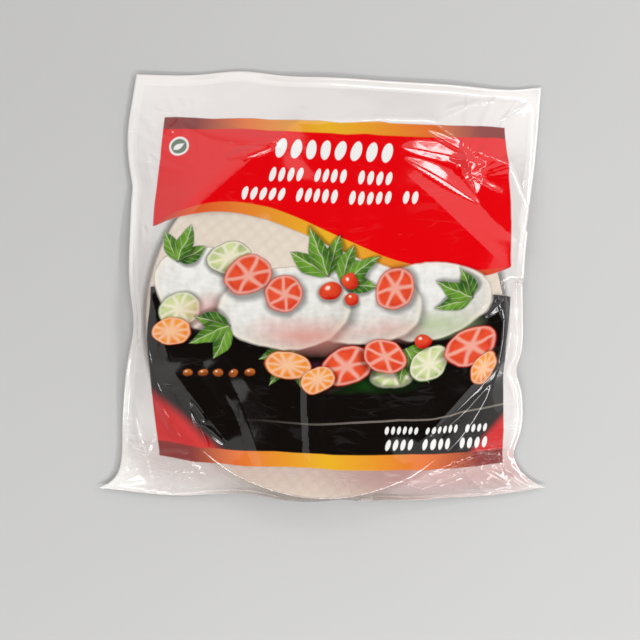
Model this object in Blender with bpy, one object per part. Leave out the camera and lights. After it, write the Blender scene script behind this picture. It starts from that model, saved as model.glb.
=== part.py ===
"""Sealed pouch of round rice paper wrappers, as the solid that its film encloses.

A flat plastic pouch, welded all round, lies on its back with a round stack of rice paper inside.
The stack has slid to the pouch's near end, so the film is drawn tight there, the two near corners
stand out as ears, and the far end is an empty flat strip.

Metres, +Z up, +Y towards the pouch's far end. The origin is on the table, under the middle of the
pouch's box.
"""

import math
from dataclasses import dataclass

import bmesh
import bpy
from mathutils import Vector

MM = 0.001
ACROSS = Vector((1, 0, 0))
AWAY = Vector((0, 1, 0))
UP = Vector((0, 0, 1))

# The stack of round sheets: its size, and where its axis stands.
STACK_RADIUS = 110 * MM
STACK_HEIGHT = 23 * MM
STACK_AXIS = Vector((-2.1, -19.5, 0)) * MM

# The corners of the pouch as it lies, before the film swells or is drawn in between them.
FAR_LEFT = Vector((-124.6, 128.6, 0)) * MM
FAR_RIGHT = Vector((127.4, 129.6, 0)) * MM
NEAR_LEFT = Vector((-124.5, -129.3, 0)) * MM
NEAR_RIGHT = Vector((119.2, -119.1, 0)) * MM

# The film: its welded edge's thickness and height above the table, beside the stack and far out
# from it, and how its top surface runs down from the stack's rim.
WELD_THICKNESS = 0.9 * MM
EDGE_HEIGHT_AT_STACK = 8.0 * MM
EDGE_HEIGHT_FAR_OUT = 3.2 * MM
EDGE_WAVE = 1.3 * MM
NARROW_MARGIN = 6 * MM
WIDE_MARGIN = 42 * MM
FALL_RUN = 40 * MM  # past this distance from the rim the film lies flat
FALL_POWER_NARROW = 0.8
FALL_POWER_WIDE = 1.4
SHOULDER = 2.8 * MM
SHOULDER_DROP = 1.0 * MM
CROWN = 0.6 * MM
PLEAT = 1.0 * MM
PLEATS_ROUND = 24
FOOT_RADIUS = 109.2 * MM

# How finely the surface is divided: the points along each side of the outline, the rings on the
# stack's top as shares of its radius, those round its shoulder as shares of the shoulder, and those
# over and under the film's margin as shares of the margin.
POINTS_ALONG_SIDE = 48
EAR_CROWDING = 1.35  # above 1, it crowds a side's points towards its near corner, round the ear
TOP_RINGS = (0.5, 0.8, 0.94)
SHOULDER_RINGS = (0.0, 0.5, 1.0)
MARGIN_RINGS = (0.1, 0.23, 0.4, 0.6, 0.8, 0.93, 1.0)
UNDER_RINGS = (1.0, 0.85, 0.6, 0.35, 0.15, 0.0)

FILM_WHITE = (0.80, 0.79, 0.76, 1.0)
FILM_ROUGHNESS = 0.2
SHARP_EDGE = math.radians(50)


@dataclass(frozen=True)
class Swell:
    """A place along one side where the outline swells out, or is drawn in if the amount is below 0."""

    at: float
    out: float
    reach: float

    def amount(self, place):
        """How far it moves the outline at this place along the side."""
        return self.out * math.exp(-(((place - self.at) / self.reach) ** 2))


@dataclass(frozen=True)
class Ear:
    """A welded near corner that stands out past its side.

    It dies away within its reach, and the film in it is drawn from a place on the stack's rim that
    is turned round towards the pouch's near end.
    """

    out: float
    reach: float
    turn: float

    def amount(self, distance):
        """How far it moves the outline at this distance from the corner."""
        return self.out * math.exp(-distance / self.reach)


LEFT_EAR = Ear(14.7 * MM, 5.5 * MM, math.radians(15))
RIGHT_EAR = Ear(20.0 * MM, 6.1 * MM, math.radians(-16))
TURN_FADE_ALONG_SIDE = 0.15  # the share of a side over which an ear's turn dies away
TURN_FADE_ALONG_END = 0.4

LEFT_SWELLS = (
    Swell(90 * MM, 4.3 * MM, 26 * MM),
    Swell(59 * MM, -1.6 * MM, 5 * MM),
    Swell(-28 * MM, -4.4 * MM, 20 * MM),
    Swell(-87 * MM, 1.0 * MM, 16 * MM),
)
RIGHT_SWELLS = (
    Swell(20 * MM, -4.4 * MM, 48 * MM),
    Swell(-47 * MM, -4.2 * MM, 8 * MM),
    Swell(-76 * MM, 2.4 * MM, 16 * MM),
    Swell(-99 * MM, -3.4 * MM, 7 * MM),
)
FAR_SWELLS = (
    Swell(-60 * MM, 4.0 * MM, 22 * MM),
    Swell(-5 * MM, 1.8 * MM, 40 * MM),
    Swell(105 * MM, -2.2 * MM, 26 * MM),
)
NEAR_SWELLS = (
    Swell(-90 * MM, 4.6 * MM, 32 * MM),
    Swell(-10 * MM, 8.2 * MM, 34 * MM),
    Swell(27 * MM, 2.6 * MM, 8 * MM),
    Swell(52 * MM, 6.4 * MM, 30 * MM),
    Swell(98 * MM, 4.6 * MM, 30 * MM),
)
END_FADE = 0.06  # the share of an end over which its swells fade out at each corner


def mix(low, high, share):
    """The value at this share of the way from low to high."""
    return low + (high - low) * share


def smooth(share):
    """A share that leaves 0 and reaches 1 with no slope."""
    share = min(max(share, 0.0), 1.0)
    return share * share * (3 - 2 * share)


class Spoke:
    """The film's section from the stack's axis, over its rim and out to one point of the outline."""

    def __init__(self, end, turn=0.0):
        """Places the section, which crosses the rim turned this far round from its end's bearing."""
        self.end = end
        reach = end - STACK_AXIS
        self.angle = math.atan2(reach.y, reach.x) + turn
        self.direction = Vector((math.cos(self.angle), math.sin(self.angle), 0))
        self.margin = (end - self.place(STACK_RADIUS)).length
        self.openness = smooth((self.margin - NARROW_MARGIN) / (WIDE_MARGIN - NARROW_MARGIN))
        wave = 0.6 * math.sin(5 * self.angle + 0.8) + 0.4 * math.sin(11 * self.angle + 2.1)
        level = mix(EDGE_HEIGHT_AT_STACK, EDGE_HEIGHT_FAR_OUT, self.openness)
        self.edge_height = level + EDGE_WAVE * wave

    def place(self, radius):
        """The place on the table at this radius from the stack's axis."""
        return STACK_AXIS + self.direction * radius

    def over_stack(self, share):
        """A point of the top film over the stack, at this share of its radius."""
        return self.place(share * STACK_RADIUS) + UP * (STACK_HEIGHT + CROWN * (1 - share * share))

    def over_shoulder(self, share):
        """A point of the top film on its bend over the rim."""
        radius = STACK_RADIUS - SHOULDER * (1 - share)
        return self.place(radius) + UP * (STACK_HEIGHT - SHOULDER_DROP * share * share)

    def over_margin(self, share):
        """A point of the top film past the rim, where it falls and then lies flat."""
        run = min(self.margin, FALL_RUN)
        power = mix(FALL_POWER_NARROW, FALL_POWER_WIDE, self.openness)
        fall = max(0.0, 1 - share * self.margin / run) ** power
        pleat = PLEAT * math.sin(PLEATS_ROUND * self.angle) * 4 * share * (1 - share) ** 2
        height = mix(self.edge_height, STACK_HEIGHT - SHOULDER_DROP, fall) + pleat
        return self.place(STACK_RADIUS).lerp(self.end, share) + UP * height

    def under_margin(self, share):
        """A point of the bottom film, from the foot's rim (0) up to the underside of the weld (1)."""
        rise = (self.edge_height - WELD_THICKNESS) * smooth(share)
        return self.place(FOOT_RADIUS).lerp(self.end, share) + UP * rise

    def section(self):
        """Every point of the film along this spoke: over the top, round the weld and to the foot."""
        over = [self.over_stack(share) for share in TOP_RINGS]
        over += [self.over_shoulder(share) for share in SHOULDER_RINGS]
        over += [self.over_margin(share) for share in MARGIN_RINGS]
        return over + [self.under_margin(share) for share in UNDER_RINGS]


def side_spokes(near, far, outwards, swells, ear):
    """The spokes to the left or right side, from its near corner to just before its far one."""
    spokes = []
    for step in range(POINTS_ALONG_SIDE):
        share = (step / POINTS_ALONG_SIDE) ** EAR_CROWDING
        point = near.lerp(far, share)
        out = sum(swell.amount(point.y) for swell in swells) + ear.amount(point.y - near.y)
        turn = ear.turn * max(0.0, 1 - share / TURN_FADE_ALONG_SIDE)
        spokes.append(Spoke(point + outwards * out, turn))
    return spokes


def near_end_spokes(left, right):
    """The spokes to the near end, from its left ear to just before its right one."""
    spokes = []
    for step in range(POINTS_ALONG_SIDE):
        share = step / POINTS_ALONG_SIDE
        turn = LEFT_EAR.turn * (1 - smooth(share / TURN_FADE_ALONG_END))
        turn += RIGHT_EAR.turn * (1 - smooth((1 - share) / TURN_FADE_ALONG_END))
        spokes.append(Spoke(end_point(left, right, share, -AWAY, NEAR_SWELLS), turn))
    return spokes


def far_end_spokes(left, right):
    """The spokes to the far end, from its right corner to its left one."""
    shares = [1 - step / POINTS_ALONG_SIDE for step in range(POINTS_ALONG_SIDE + 1)]
    return [Spoke(end_point(left, right, share, AWAY, FAR_SWELLS)) for share in shares]


def end_point(left, right, share, outwards, swells):
    """A point of the near or far end, where the swells fade out at both corners."""
    point = left.lerp(right, share)
    fade = smooth(share / END_FADE) * smooth((1 - share) / END_FADE)
    return point + outwards * fade * sum(swell.amount(point.x) for swell in swells)


def all_spokes():
    """The spokes to the whole outline, anticlockwise from the pouch's near left corner."""
    left_side = side_spokes(NEAR_LEFT, FAR_LEFT, -ACROSS, LEFT_SWELLS, LEFT_EAR)
    right_side = side_spokes(NEAR_RIGHT, FAR_RIGHT, ACROSS, RIGHT_SWELLS, RIGHT_EAR)
    near_end = near_end_spokes(left_side[0].end, right_side[0].end)
    return near_end + right_side + far_end_spokes(FAR_LEFT, FAR_RIGHT) + left_side[:0:-1]


def open_rim(bm):
    """The edges of the surface's open rim."""
    return [edge for edge in bm.edges if edge.is_boundary]


def build_pouch():
    """The solid: a disc for the top's middle, extruded ring by ring over the weld to the foot."""
    sections = [spoke.section() for spoke in all_spokes()]
    bm = bmesh.new()
    spoke_of = bm.verts.layers.int.new("spoke")
    bmesh.ops.create_circle(bm, cap_ends=True, cap_tris=True, segments=len(sections), radius=STACK_RADIUS)
    middle = max(bm.verts, key=lambda vert: len(vert.link_edges))
    middle.co = STACK_AXIS + UP * (STACK_HEIGHT + CROWN)
    ring = [vert for vert in bm.verts if vert is not middle]
    ring.sort(key=lambda vert: math.atan2(vert.co.y, vert.co.x))
    for spoke, vert in enumerate(ring):
        vert[spoke_of] = spoke
        vert.co = sections[spoke][0]
    for step in range(1, len(sections[0])):
        grown = bmesh.ops.extrude_edge_only(bm, edges=open_rim(bm))["geom"]
        for vert in (item for item in grown if isinstance(item, bmesh.types.BMVert)):
            vert.co = sections[vert[spoke_of]][step]
    foot = bmesh.ops.edgeloop_fill(bm, edges=open_rim(bm))["faces"]
    bmesh.ops.poke(bm, faces=foot)
    bmesh.ops.recalc_face_normals(bm, faces=bm.faces)
    return bm


def centre_on_table(bm):
    """Moves the solid so that its box stands on the table with its middle over the origin."""
    xs = [vert.co.x for vert in bm.verts]
    ys = [vert.co.y for vert in bm.verts]
    lowest = min(vert.co.z for vert in bm.verts)
    middle = Vector(((min(xs) + max(xs)) / 2, (min(ys) + max(ys)) / 2, lowest))
    bmesh.ops.translate(bm, verts=bm.verts, vec=-middle)


def film_material():
    """Clear glossy plastic film that looks milky white where it lies in two layers."""
    material = bpy.data.materials.new("film")
    material.use_nodes = True
    shader = material.node_tree.nodes["Principled BSDF"]
    shader.inputs["Base Color"].default_value = FILM_WHITE
    shader.inputs["Roughness"].default_value = FILM_ROUGHNESS
    shader.inputs["Metallic"].default_value = 0.0
    material.diffuse_color = FILM_WHITE
    return material


def main():
    """Clears the scene and builds the pouch."""
    for thing in list(bpy.data.objects):
        bpy.data.objects.remove(thing, do_unlink=True)
    bm = build_pouch()
    centre_on_table(bm)
    mesh = bpy.data.meshes.new("sealed_pouch")
    bm.to_mesh(mesh)
    bm.free()
    mesh.shade_smooth()
    mesh.set_sharp_from_angle(angle=SHARP_EDGE)
    mesh.materials.append(film_material())
    pouch = bpy.data.objects.new("sealed_pouch", mesh)
    bpy.context.scene.collection.objects.link(pouch)


main()
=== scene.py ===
"""Looks of the rice paper wrapper pack: printed film pouch, welded edges and the stack of sheets.

The pouch's welded outline and its height at the weld come from the CAD solid. The film is relaxed
over the stack between them, and then gets its folds. Lengths are in metres.
"""

import logging
import math
from collections.abc import Callable, Iterator
from dataclasses import dataclass, field
from enum import Enum

import bmesh
import bpy
import numpy as np
from mathutils import Matrix, Vector
from mathutils.bvhtree import BVHTree
from mathutils.geometry import delaunay_2d_cdt


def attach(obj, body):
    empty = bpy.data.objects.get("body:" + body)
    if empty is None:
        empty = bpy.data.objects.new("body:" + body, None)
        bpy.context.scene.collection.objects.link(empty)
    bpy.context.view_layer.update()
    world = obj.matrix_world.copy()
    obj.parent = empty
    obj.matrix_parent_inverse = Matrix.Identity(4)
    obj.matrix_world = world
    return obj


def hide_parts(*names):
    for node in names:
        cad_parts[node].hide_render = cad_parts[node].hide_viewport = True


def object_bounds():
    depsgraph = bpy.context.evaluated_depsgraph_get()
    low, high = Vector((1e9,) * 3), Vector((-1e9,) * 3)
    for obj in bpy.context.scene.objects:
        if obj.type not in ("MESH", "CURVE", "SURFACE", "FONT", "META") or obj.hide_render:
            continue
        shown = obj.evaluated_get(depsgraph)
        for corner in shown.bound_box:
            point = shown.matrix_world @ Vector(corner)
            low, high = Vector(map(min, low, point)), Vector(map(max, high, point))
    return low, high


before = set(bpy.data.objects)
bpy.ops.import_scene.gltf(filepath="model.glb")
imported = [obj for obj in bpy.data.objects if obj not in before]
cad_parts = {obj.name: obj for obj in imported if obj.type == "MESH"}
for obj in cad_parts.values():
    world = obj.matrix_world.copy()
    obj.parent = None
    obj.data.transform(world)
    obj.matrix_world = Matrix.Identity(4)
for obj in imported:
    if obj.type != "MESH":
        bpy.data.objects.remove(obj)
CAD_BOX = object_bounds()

LOG = logging.getLogger("rice_paper_pack")
Socket = bpy.types.NodeSocket
Colour = tuple[float, float, float]
Line = tuple[tuple[float, float], ...]
Drawn = tuple[Socket, Socket, Socket]  # how far inside the edge, the shade and the gleam
BODY = "root"
POUCH_NODE = "sealed_pouch"
STACK_PIECE = "sheets_in_stack"

MM = 0.001
# Where the camera and the soft boxes hang over the pack. The creases are laid to mirror them.
TARGET = (-5.1 * MM, -20.1 * MM)
CAMERA_HEIGHT = 0.9
BOX_REACH = 0.88
BOX_HEIGHT = 1.05
PLATEAU = 22 * MM  # the height of most of the front film


class Zone(Enum):
    """The parts of the film, each with its own material slot."""

    MARGIN = 0
    HEADING = 1
    PICTURE_LEFT = 2
    PICTURE_MIDDLE = 3
    PICTURE_RIGHT = 4
    FOOT = 5
    BACK = 6


class Slot(Enum):
    """The record's finishes."""

    FILM = "film"
    RICE_PAPER = "rice_paper"


def linear(red: int, green: int, blue: int) -> Colour:
    """Turns a screen colour of 0 to 255 into the linear light that shaders use."""

    def channel(value: int) -> float:
        share = value / 255
        return share / 12.92 if share <= 0.04045 else ((share + 0.055) / 1.055) ** 2.4

    return channel(red), channel(green), channel(blue)


def smoothstep(low: float, high: float, value: np.ndarray) -> np.ndarray:
    """Runs from 0 at low to 1 at high, level at both ends."""
    share = np.clip((value - low) / (high - low), 0.0, 1.0)
    return share * share * (3 - 2 * share)


# ---------------------------------------------------------------------------------------------
# The pouch's form
# ---------------------------------------------------------------------------------------------


@dataclass
class WeldedOutline:
    """The pouch's welded edge, read from the CAD solid and cut at its four corners.

    The weld is the only upright part of the solid, so its upper edge is found by its uprights.
    """

    node: bpy.types.Object
    upright: float = 0.3 * MM
    same_place: float = 0.002 * MM
    softening: int = 3
    near: np.ndarray = field(init=False)
    far: np.ndarray = field(init=False)
    left: np.ndarray = field(init=False)
    right: np.ndarray = field(init=False)

    def __post_init__(self) -> None:
        """Walks round the weld and cuts the loop into its four sides."""
        loop = self.walk()
        x, y = loop[:, 0], loop[:, 1]
        corners = [int(np.argmin(x + y)), int(np.argmax(x - y)), int(np.argmax(x + y)), int(np.argmin(x - y))]
        loop = np.roll(loop, -corners[0], axis=0)
        count = len(loop)
        cuts = [(corner - corners[0]) % count for corner in corners]
        if cuts[1] > cuts[3]:
            loop = np.roll(loop[::-1], 1, axis=0)
            cuts = [(count - cut) % count for cut in cuts]
        self.near = loop[: cuts[1] + 1]
        self.right = loop[cuts[1] : cuts[2] + 1]
        self.far = loop[cuts[2] : cuts[3] + 1][::-1]
        self.left = np.vstack([loop[cuts[3] :], loop[:1]])[::-1]

    def walk(self) -> np.ndarray:
        """Returns the weld's upper edge as one loop of points."""
        bm = bmesh.new()
        bm.from_mesh(self.node.data)
        bmesh.ops.remove_doubles(bm, verts=bm.verts, dist=self.same_place)
        tops = set()
        for edge in bm.edges:
            along = edge.verts[1].co - edge.verts[0].co
            if along.xy.length < self.same_place and abs(along.z) > self.upright:
                tops.add(max(edge.verts, key=lambda vert: vert.co.z))
        vert = min(tops, key=lambda top: top.co.x + top.co.y)
        loop, seen = [], set()
        while vert is not None:
            seen.add(vert)
            loop.append(tuple(vert.co))
            linked = [edge.other_vert(vert) for edge in vert.link_edges]
            vert = next((other for other in linked if other in tops and other not in seen), None)
        bm.free()
        return np.array(loop)

    def sample(self, side: np.ndarray, shares: np.ndarray) -> np.ndarray:
        """Points at these shares of a side's length, with the corners of its facets softened.

        Args:
            side: The side's points, in order.
            shares: Where to sample it, from 0 to 1, evenly spaced.

        Returns:
            One point for each share.
        """
        steps = np.linalg.norm(np.diff(side, axis=0), axis=1)
        run = np.concatenate([[0.0], np.cumsum(steps)]) / steps.sum()
        points = np.stack([np.interp(shares, run, side[:, axis]) for axis in range(3)], axis=1)
        for _ in range(self.softening):
            points[1:-1] = (points[:-2] + 2 * points[1:-1] + points[2:]) / 4
        return points

    def patch(self, across: int, along: int) -> np.ndarray:
        """The weld's four sides carried smoothly over the whole pouch.

        Args:
            across: How many points run from left to right.
            along: How many points run from the near end to the far end.

        Returns:
            Points as [along, across, xyz]; the border's points lie on the weld.
        """
        u = np.linspace(0, 1, across)
        v = np.linspace(0, 1, along)
        near, far = self.sample(self.near, u)[None], self.sample(self.far, u)[None]
        left, right = self.sample(self.left, v)[:, None], self.sample(self.right, v)[:, None]
        u, v = u[None, :, None], v[:, None, None]
        corners = (1 - u) * (1 - v) * near[:, :1] + u * (1 - v) * near[:, -1:]
        corners = corners + (1 - u) * v * far[:, :1] + u * v * far[:, -1:]
        return (1 - v) * near + v * far + (1 - u) * left + u * right - corners


# The corners of the far right part of the film, which lies level with the stack's top, in millimetres.
PROPPED_FILM = (
    (-60, 64), (-24, 100), (30, 104), (60, 104), (84, 86), (107, 80), (120, 54), (118, 8), (60, 20),
    (-40, 40),
)


def inside_outline(place: np.ndarray, outline: Line) -> np.ndarray:
    """Whether each place lies inside an outline whose corners are in millimetres."""
    x, y = place[..., 0] / MM, place[..., 1] / MM
    inside = np.zeros(place.shape[:-1], bool)
    for (x0, y0), (x1, y1) in zip(outline, outline[1:] + outline[:1]):
        crosses = (y0 > y) != (y1 > y)
        inside ^= crosses & (x < x0 + (x1 - x0) * (y - y0) / (y1 - y0 if y1 != y0 else 1))
    return inside


@dataclass(frozen=True)
class StackPlace:
    """Where the stack of sheets stands and how large it is, as the film feels it."""

    x: float = -2.1 * MM
    y: float = -19.5 * MM
    radius: float = 110.4 * MM
    top: float = 22.6 * MM
    rounding: float = 1.4 * MM

    def distance(self, place: np.ndarray) -> np.ndarray:
        """How far each place is from the stack's axis."""
        return np.hypot(place[..., 0] - self.x, place[..., 1] - self.y)

    def floor_under_film(self, place: np.ndarray) -> np.ndarray:
        """The lowest height that the stack leaves for the front film, or minus one metre beside it."""
        past = self.distance(place) - (self.radius - self.rounding)
        drop = self.rounding - np.sqrt(np.clip(self.rounding**2 - np.clip(past, 0, None) ** 2, 0, None))
        low = np.where(past < self.rounding, self.top - drop, -1.0)
        return np.where(inside_outline(place, PROPPED_FILM), self.top, low)


def relax(
    height: np.ndarray, fixed: np.ndarray, low: np.ndarray, high: np.ndarray, rounds: int, lift: float
) -> np.ndarray:
    """Pulls a film taut between its fixed points and the limits above and below it.

    Args:
        height: Starting heights as a grid.
        fixed: True where a height may not change.
        low: Lowest height allowed at each point.
        high: Highest height allowed at each point.
        rounds: How many times each point moves to the mean of its neighbours.
        lift: How far trapped air lifts each point above that mean.

    Returns:
        The heights of the taut film.
    """
    height = height.copy()
    held = height.copy()
    for _ in range(rounds):
        mean = height.copy()
        mean[1:-1, 1:-1] = (
            height[:-2, 1:-1] + height[2:, 1:-1] + height[1:-1, :-2] + height[1:-1, 2:]
        ) / 4
        height = np.clip(mean + lift, low, high)
        height[fixed] = held[fixed]
    return height


def finer(height: np.ndarray, along: int, across: int) -> np.ndarray:
    """Spreads a coarse grid of heights over a finer one."""
    rows = np.linspace(0, 1, height.shape[0])
    columns = np.linspace(0, 1, height.shape[1])
    new_columns = np.linspace(0, 1, across)
    wide = np.stack([np.interp(new_columns, columns, row) for row in height])
    new_rows = np.linspace(0, 1, along)
    return np.stack([np.interp(new_rows, rows, wide[:, i]) for i in range(across)], axis=1)


# ---------------------------------------------------------------------------------------------
# Folds and creases
# ---------------------------------------------------------------------------------------------


class FoldKind(Enum):
    """A fold's form.

    A ridge is sharp and tapers to points, a round fold is a ridge with a soft crest, and a facet's
    flanks stay flat nearly to their ends.
    """

    RIDGE = "ridge"
    ROUND = "round"
    FACET = "facet"


STEEP_FOOT = 0.05  # a facet's foot needs a fine mesh where its flank is steeper than this
FACET_END = 0.25  # the share of a facet's length over which each end dies away
THINNEST = 0.1  # how narrow a ridge gets at its ends, as a share of its width


@dataclass(frozen=True)
class Fold:
    """A straight or bowed raised fold in the film, with a flank down each side of its crest.

    Places are millimetres from the middle of the pouch, and so are its height and its two widths.
    Left and right are seen looking along it from its start. A width can be one for the whole length
    or several, evenly spaced along it.
    """

    start: tuple[float, float]
    end: tuple[float, float]
    height: float
    left_width: float | tuple[float, ...]
    right_width: float | tuple[float, ...]
    bow: float = 0.0
    kind: FoldKind = FoldKind.RIDGE

    def along_and_beside(self, place: np.ndarray) -> tuple[np.ndarray, np.ndarray]:
        """Each place's share of the fold's length, and how far it is to the left of the crest."""
        start = np.array(self.start) * MM
        run = np.array(self.end) * MM - start
        length = float(np.hypot(*run))
        along = run / length
        offset = place[..., :2] - start
        share = (offset @ along) / length
        side = offset[..., 0] * -along[1] + offset[..., 1] * along[0]
        return share, side - self.bow * MM * 4 * share * (1 - share)

    def width_at(self, share: np.ndarray, side: np.ndarray) -> np.ndarray:
        """The width of the flank that each place is on, in metres."""
        left, right = (
            np.interp(share, np.linspace(0, 1, np.size(widths)), np.atleast_1d(widths))
            for widths in (self.left_width, self.right_width)
        )
        return np.where(side > 0, left, right) * MM

    def heights(self, place: np.ndarray) -> np.ndarray:
        """How far the fold lifts the film at each place."""
        share, side = self.along_and_beside(place)
        width = self.width_at(share, side)
        to_end = np.clip(np.minimum(share, 1 - share), 0.0, None)
        if self.kind is FoldKind.FACET:
            taper = smoothstep(0.0, FACET_END, to_end)
            narrowing = 1.0
        else:
            taper = np.sin(np.pi * np.clip(to_end, 0.0, 0.5)) ** 0.5
            narrowing = np.maximum(taper, THINNEST)
        past_crest = np.clip(np.abs(side) / (width * narrowing), 0.0, 1.0)
        if self.kind is FoldKind.ROUND:
            past_crest = past_crest**2
        return self.height * MM * taper * (1 - past_crest)

    def sharp(self, place: np.ndarray, reach: float) -> np.ndarray:
        """Where the fold needs a fine mesh: all of a ridge, or a facet's crest and its steep feet."""
        share, side = self.along_and_beside(place)
        if self.kind is not FoldKind.FACET:
            fine = np.abs(side) < self.width_at(share, side) + reach / 2
        else:
            fine = np.abs(side) < reach
            for foot in (self.left_width, -self.right_width):
                if self.height / abs(foot) > STEEP_FOOT:
                    fine |= np.abs(side - foot * MM) < reach
        return fine & (share > -0.01) & (share < 1.01)


def fan_of_folds(
    rng: np.random.Generator,
    hub: tuple[float, float],
    bearing: float,
    spread: float,
    reach: float,
    count: int,
    height: float,
) -> list[Fold]:
    """Folds that run out from one place.

    Args:
        rng: Where the unevenness comes from.
        hub: The place that they leave, in millimetres.
        bearing: The middle fold's direction, in degrees anticlockwise from right.
        spread: The angle between the outer folds, in degrees.
        reach: About how long they are, in millimetres.
        count: How many there are.
        height: About how high they are, in millimetres.

    Returns:
        The folds.
    """
    folds = []
    for i in range(count):
        angle = math.radians(bearing + spread * (i / max(count - 1, 1) - 0.5) + rng.uniform(-4, 4))
        length = reach * rng.uniform(0.6, 1.15)
        begin = rng.uniform(0.0, 0.12) * length
        start = (hub[0] + begin * math.cos(angle), hub[1] + begin * math.sin(angle))
        end = (hub[0] + length * math.cos(angle), hub[1] + length * math.sin(angle))
        crest = height * rng.uniform(0.6, 1.2)
        widths = rng.uniform(1.6, 4.5, 2)
        folds.append(Fold(start, end, crest, *widths, rng.uniform(-1.5, 1.5)))
    return folds


def facets(place: np.ndarray, spacing: float, depth: float, seed: int, jitter: float = 0.42) -> np.ndarray:
    """Heights of film that is crumpled into flat three-sided facets.

    Args:
        place: The places to work out, as [place, xyz].
        spacing: About how large a facet is, in metres.
        depth: The greatest height or depth of a facet's corner, in metres.
        seed: Picks the pattern.
        jitter: How unevenly the corners are spread, as a share of the spacing.

    Returns:
        A height for each place.
    """
    rng = np.random.default_rng(seed)
    margin = 2 * spacing
    low = place[:, :2].min(axis=0) - margin
    high = place[:, :2].max(axis=0) + margin
    columns = np.arange(low[0], high[0], spacing)
    rows = np.arange(low[1], high[1], spacing * 0.87)
    x, y = np.meshgrid(columns, rows)
    x = x + np.where(np.arange(len(rows)) % 2, spacing / 2, 0.0)[:, None]
    x = x + rng.uniform(-jitter, jitter, x.shape) * spacing
    y = y + rng.uniform(-jitter, jitter, y.shape) * spacing
    flat = [Vector(pair) for pair in zip(x.ravel(), y.ravel())]
    corners, _, triangles, *_ = delaunay_2d_cdt(flat, [], [], 0, 1e-6)
    lifts = rng.uniform(-depth, depth, len(corners))
    solid = [Vector((corner.x, corner.y, lift)) for corner, lift in zip(corners, lifts)]
    tree = BVHTree.FromPolygons(solid, triangles)
    down = Vector((0, 0, -1))
    result = np.zeros(len(place))
    for i, spot in enumerate(place[:, :2].tolist()):
        hit = tree.ray_cast(Vector((*spot, 1.0)), down)[0]
        result[i] = hit.z if hit else 0.0
    return result


CREASE_STATIONS = 7  # how many places along a crease the film's slope is read at
NEAREST_POINTS = 16  # how many points of the film's form each reading is the mean of


@dataclass(frozen=True)
class Crease:
    """A sharp crease, with both flanks as steep as it takes to mirror the soft boxes straight up.

    Places are millimetres from the middle of the pouch, and so are its height and its bow.
    """

    start: tuple[float, float]
    end: tuple[float, float]
    height: float
    bow: float = 0.0
    shallowest: float = 0.14

    @property
    def stations(self) -> np.ndarray:
        """Places spread evenly along it, in metres."""
        return np.linspace(self.start, self.end, CREASE_STATIONS) * MM

    def fold(self, downhill: np.ndarray) -> Fold:
        """Gives the fold that the crease is.

        Args:
            downhill: How steeply the film falls across and along at each of the stations.

        Returns:
            A fold whose flanks are as wide as their tilt asks for.
        """
        run = np.array(self.end, float) - self.start
        left = np.array((-run[1], run[0])) / np.hypot(*run)
        widths = []
        for facing in (left, -left):
            offset = (self.stations - TARGET) @ facing
            to_box = BOX_REACH / np.abs(facing).max() - offset
            tilt = (np.arctan2(to_box, BOX_HEIGHT - PLATEAU) - np.arctan2(offset, CAMERA_HEIGHT)) / 2
            widths.append(tuple(self.height / np.maximum(np.tan(tilt) - downhill @ facing, self.shallowest)))
        return Fold(self.start, self.end, self.height, *widths, self.bow)


BROAD_FOLDS = (
    # the straight crests where the film leaves the stack, with broad facets outside them
    Fold((-22, 103), (-97, 30), 2.3, 34, 36, 0, FoldKind.FACET),
    Fold((-21, 78), (-45, 35), 1.15, 34, 15, 0, FoldKind.FACET),
    Fold((39, 75), (112, 11), 1.35, 17, 42, 0, FoldKind.FACET),
    Fold((100, 106), (78, 73), 0.9, 14, 18, -3, FoldKind.FACET),
    Fold((-103, -42), (-48, -109), 2, 34, 27, 0, FoldKind.FACET),
    Fold((-111, 3), (-95, -51), 1.3, 26, 18, 0, FoldKind.FACET),
    Fold((44, -105), (110, -44), 2, 26, 30, 0, FoldKind.FACET),
    # long narrow facets over the near part of the print
    Fold((-76, -46), (-54, -76), 0.75, 14, 7, 0, FoldKind.FACET),
    Fold((-60, -55), (-36, -115), 0.85, 14, 6, 1.5, FoldKind.FACET),
    Fold((-11, -48), (-7, -112), 0.7, 12, 5, -1, FoldKind.FACET),
    Fold((90, -55), (38, -105), 0.8, 9, 24, 0, FoldKind.FACET),
    # the two soft folds that run from the heading towards the far left corner of the print
    Fold((-94, 99), (-33, 87), 1.7, 5.5, 5.5, -2, FoldKind.ROUND),
    Fold((-66, 76), (-33, 86), 1.4, 4.5, 4.5, 0.6, FoldKind.ROUND),
)

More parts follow.
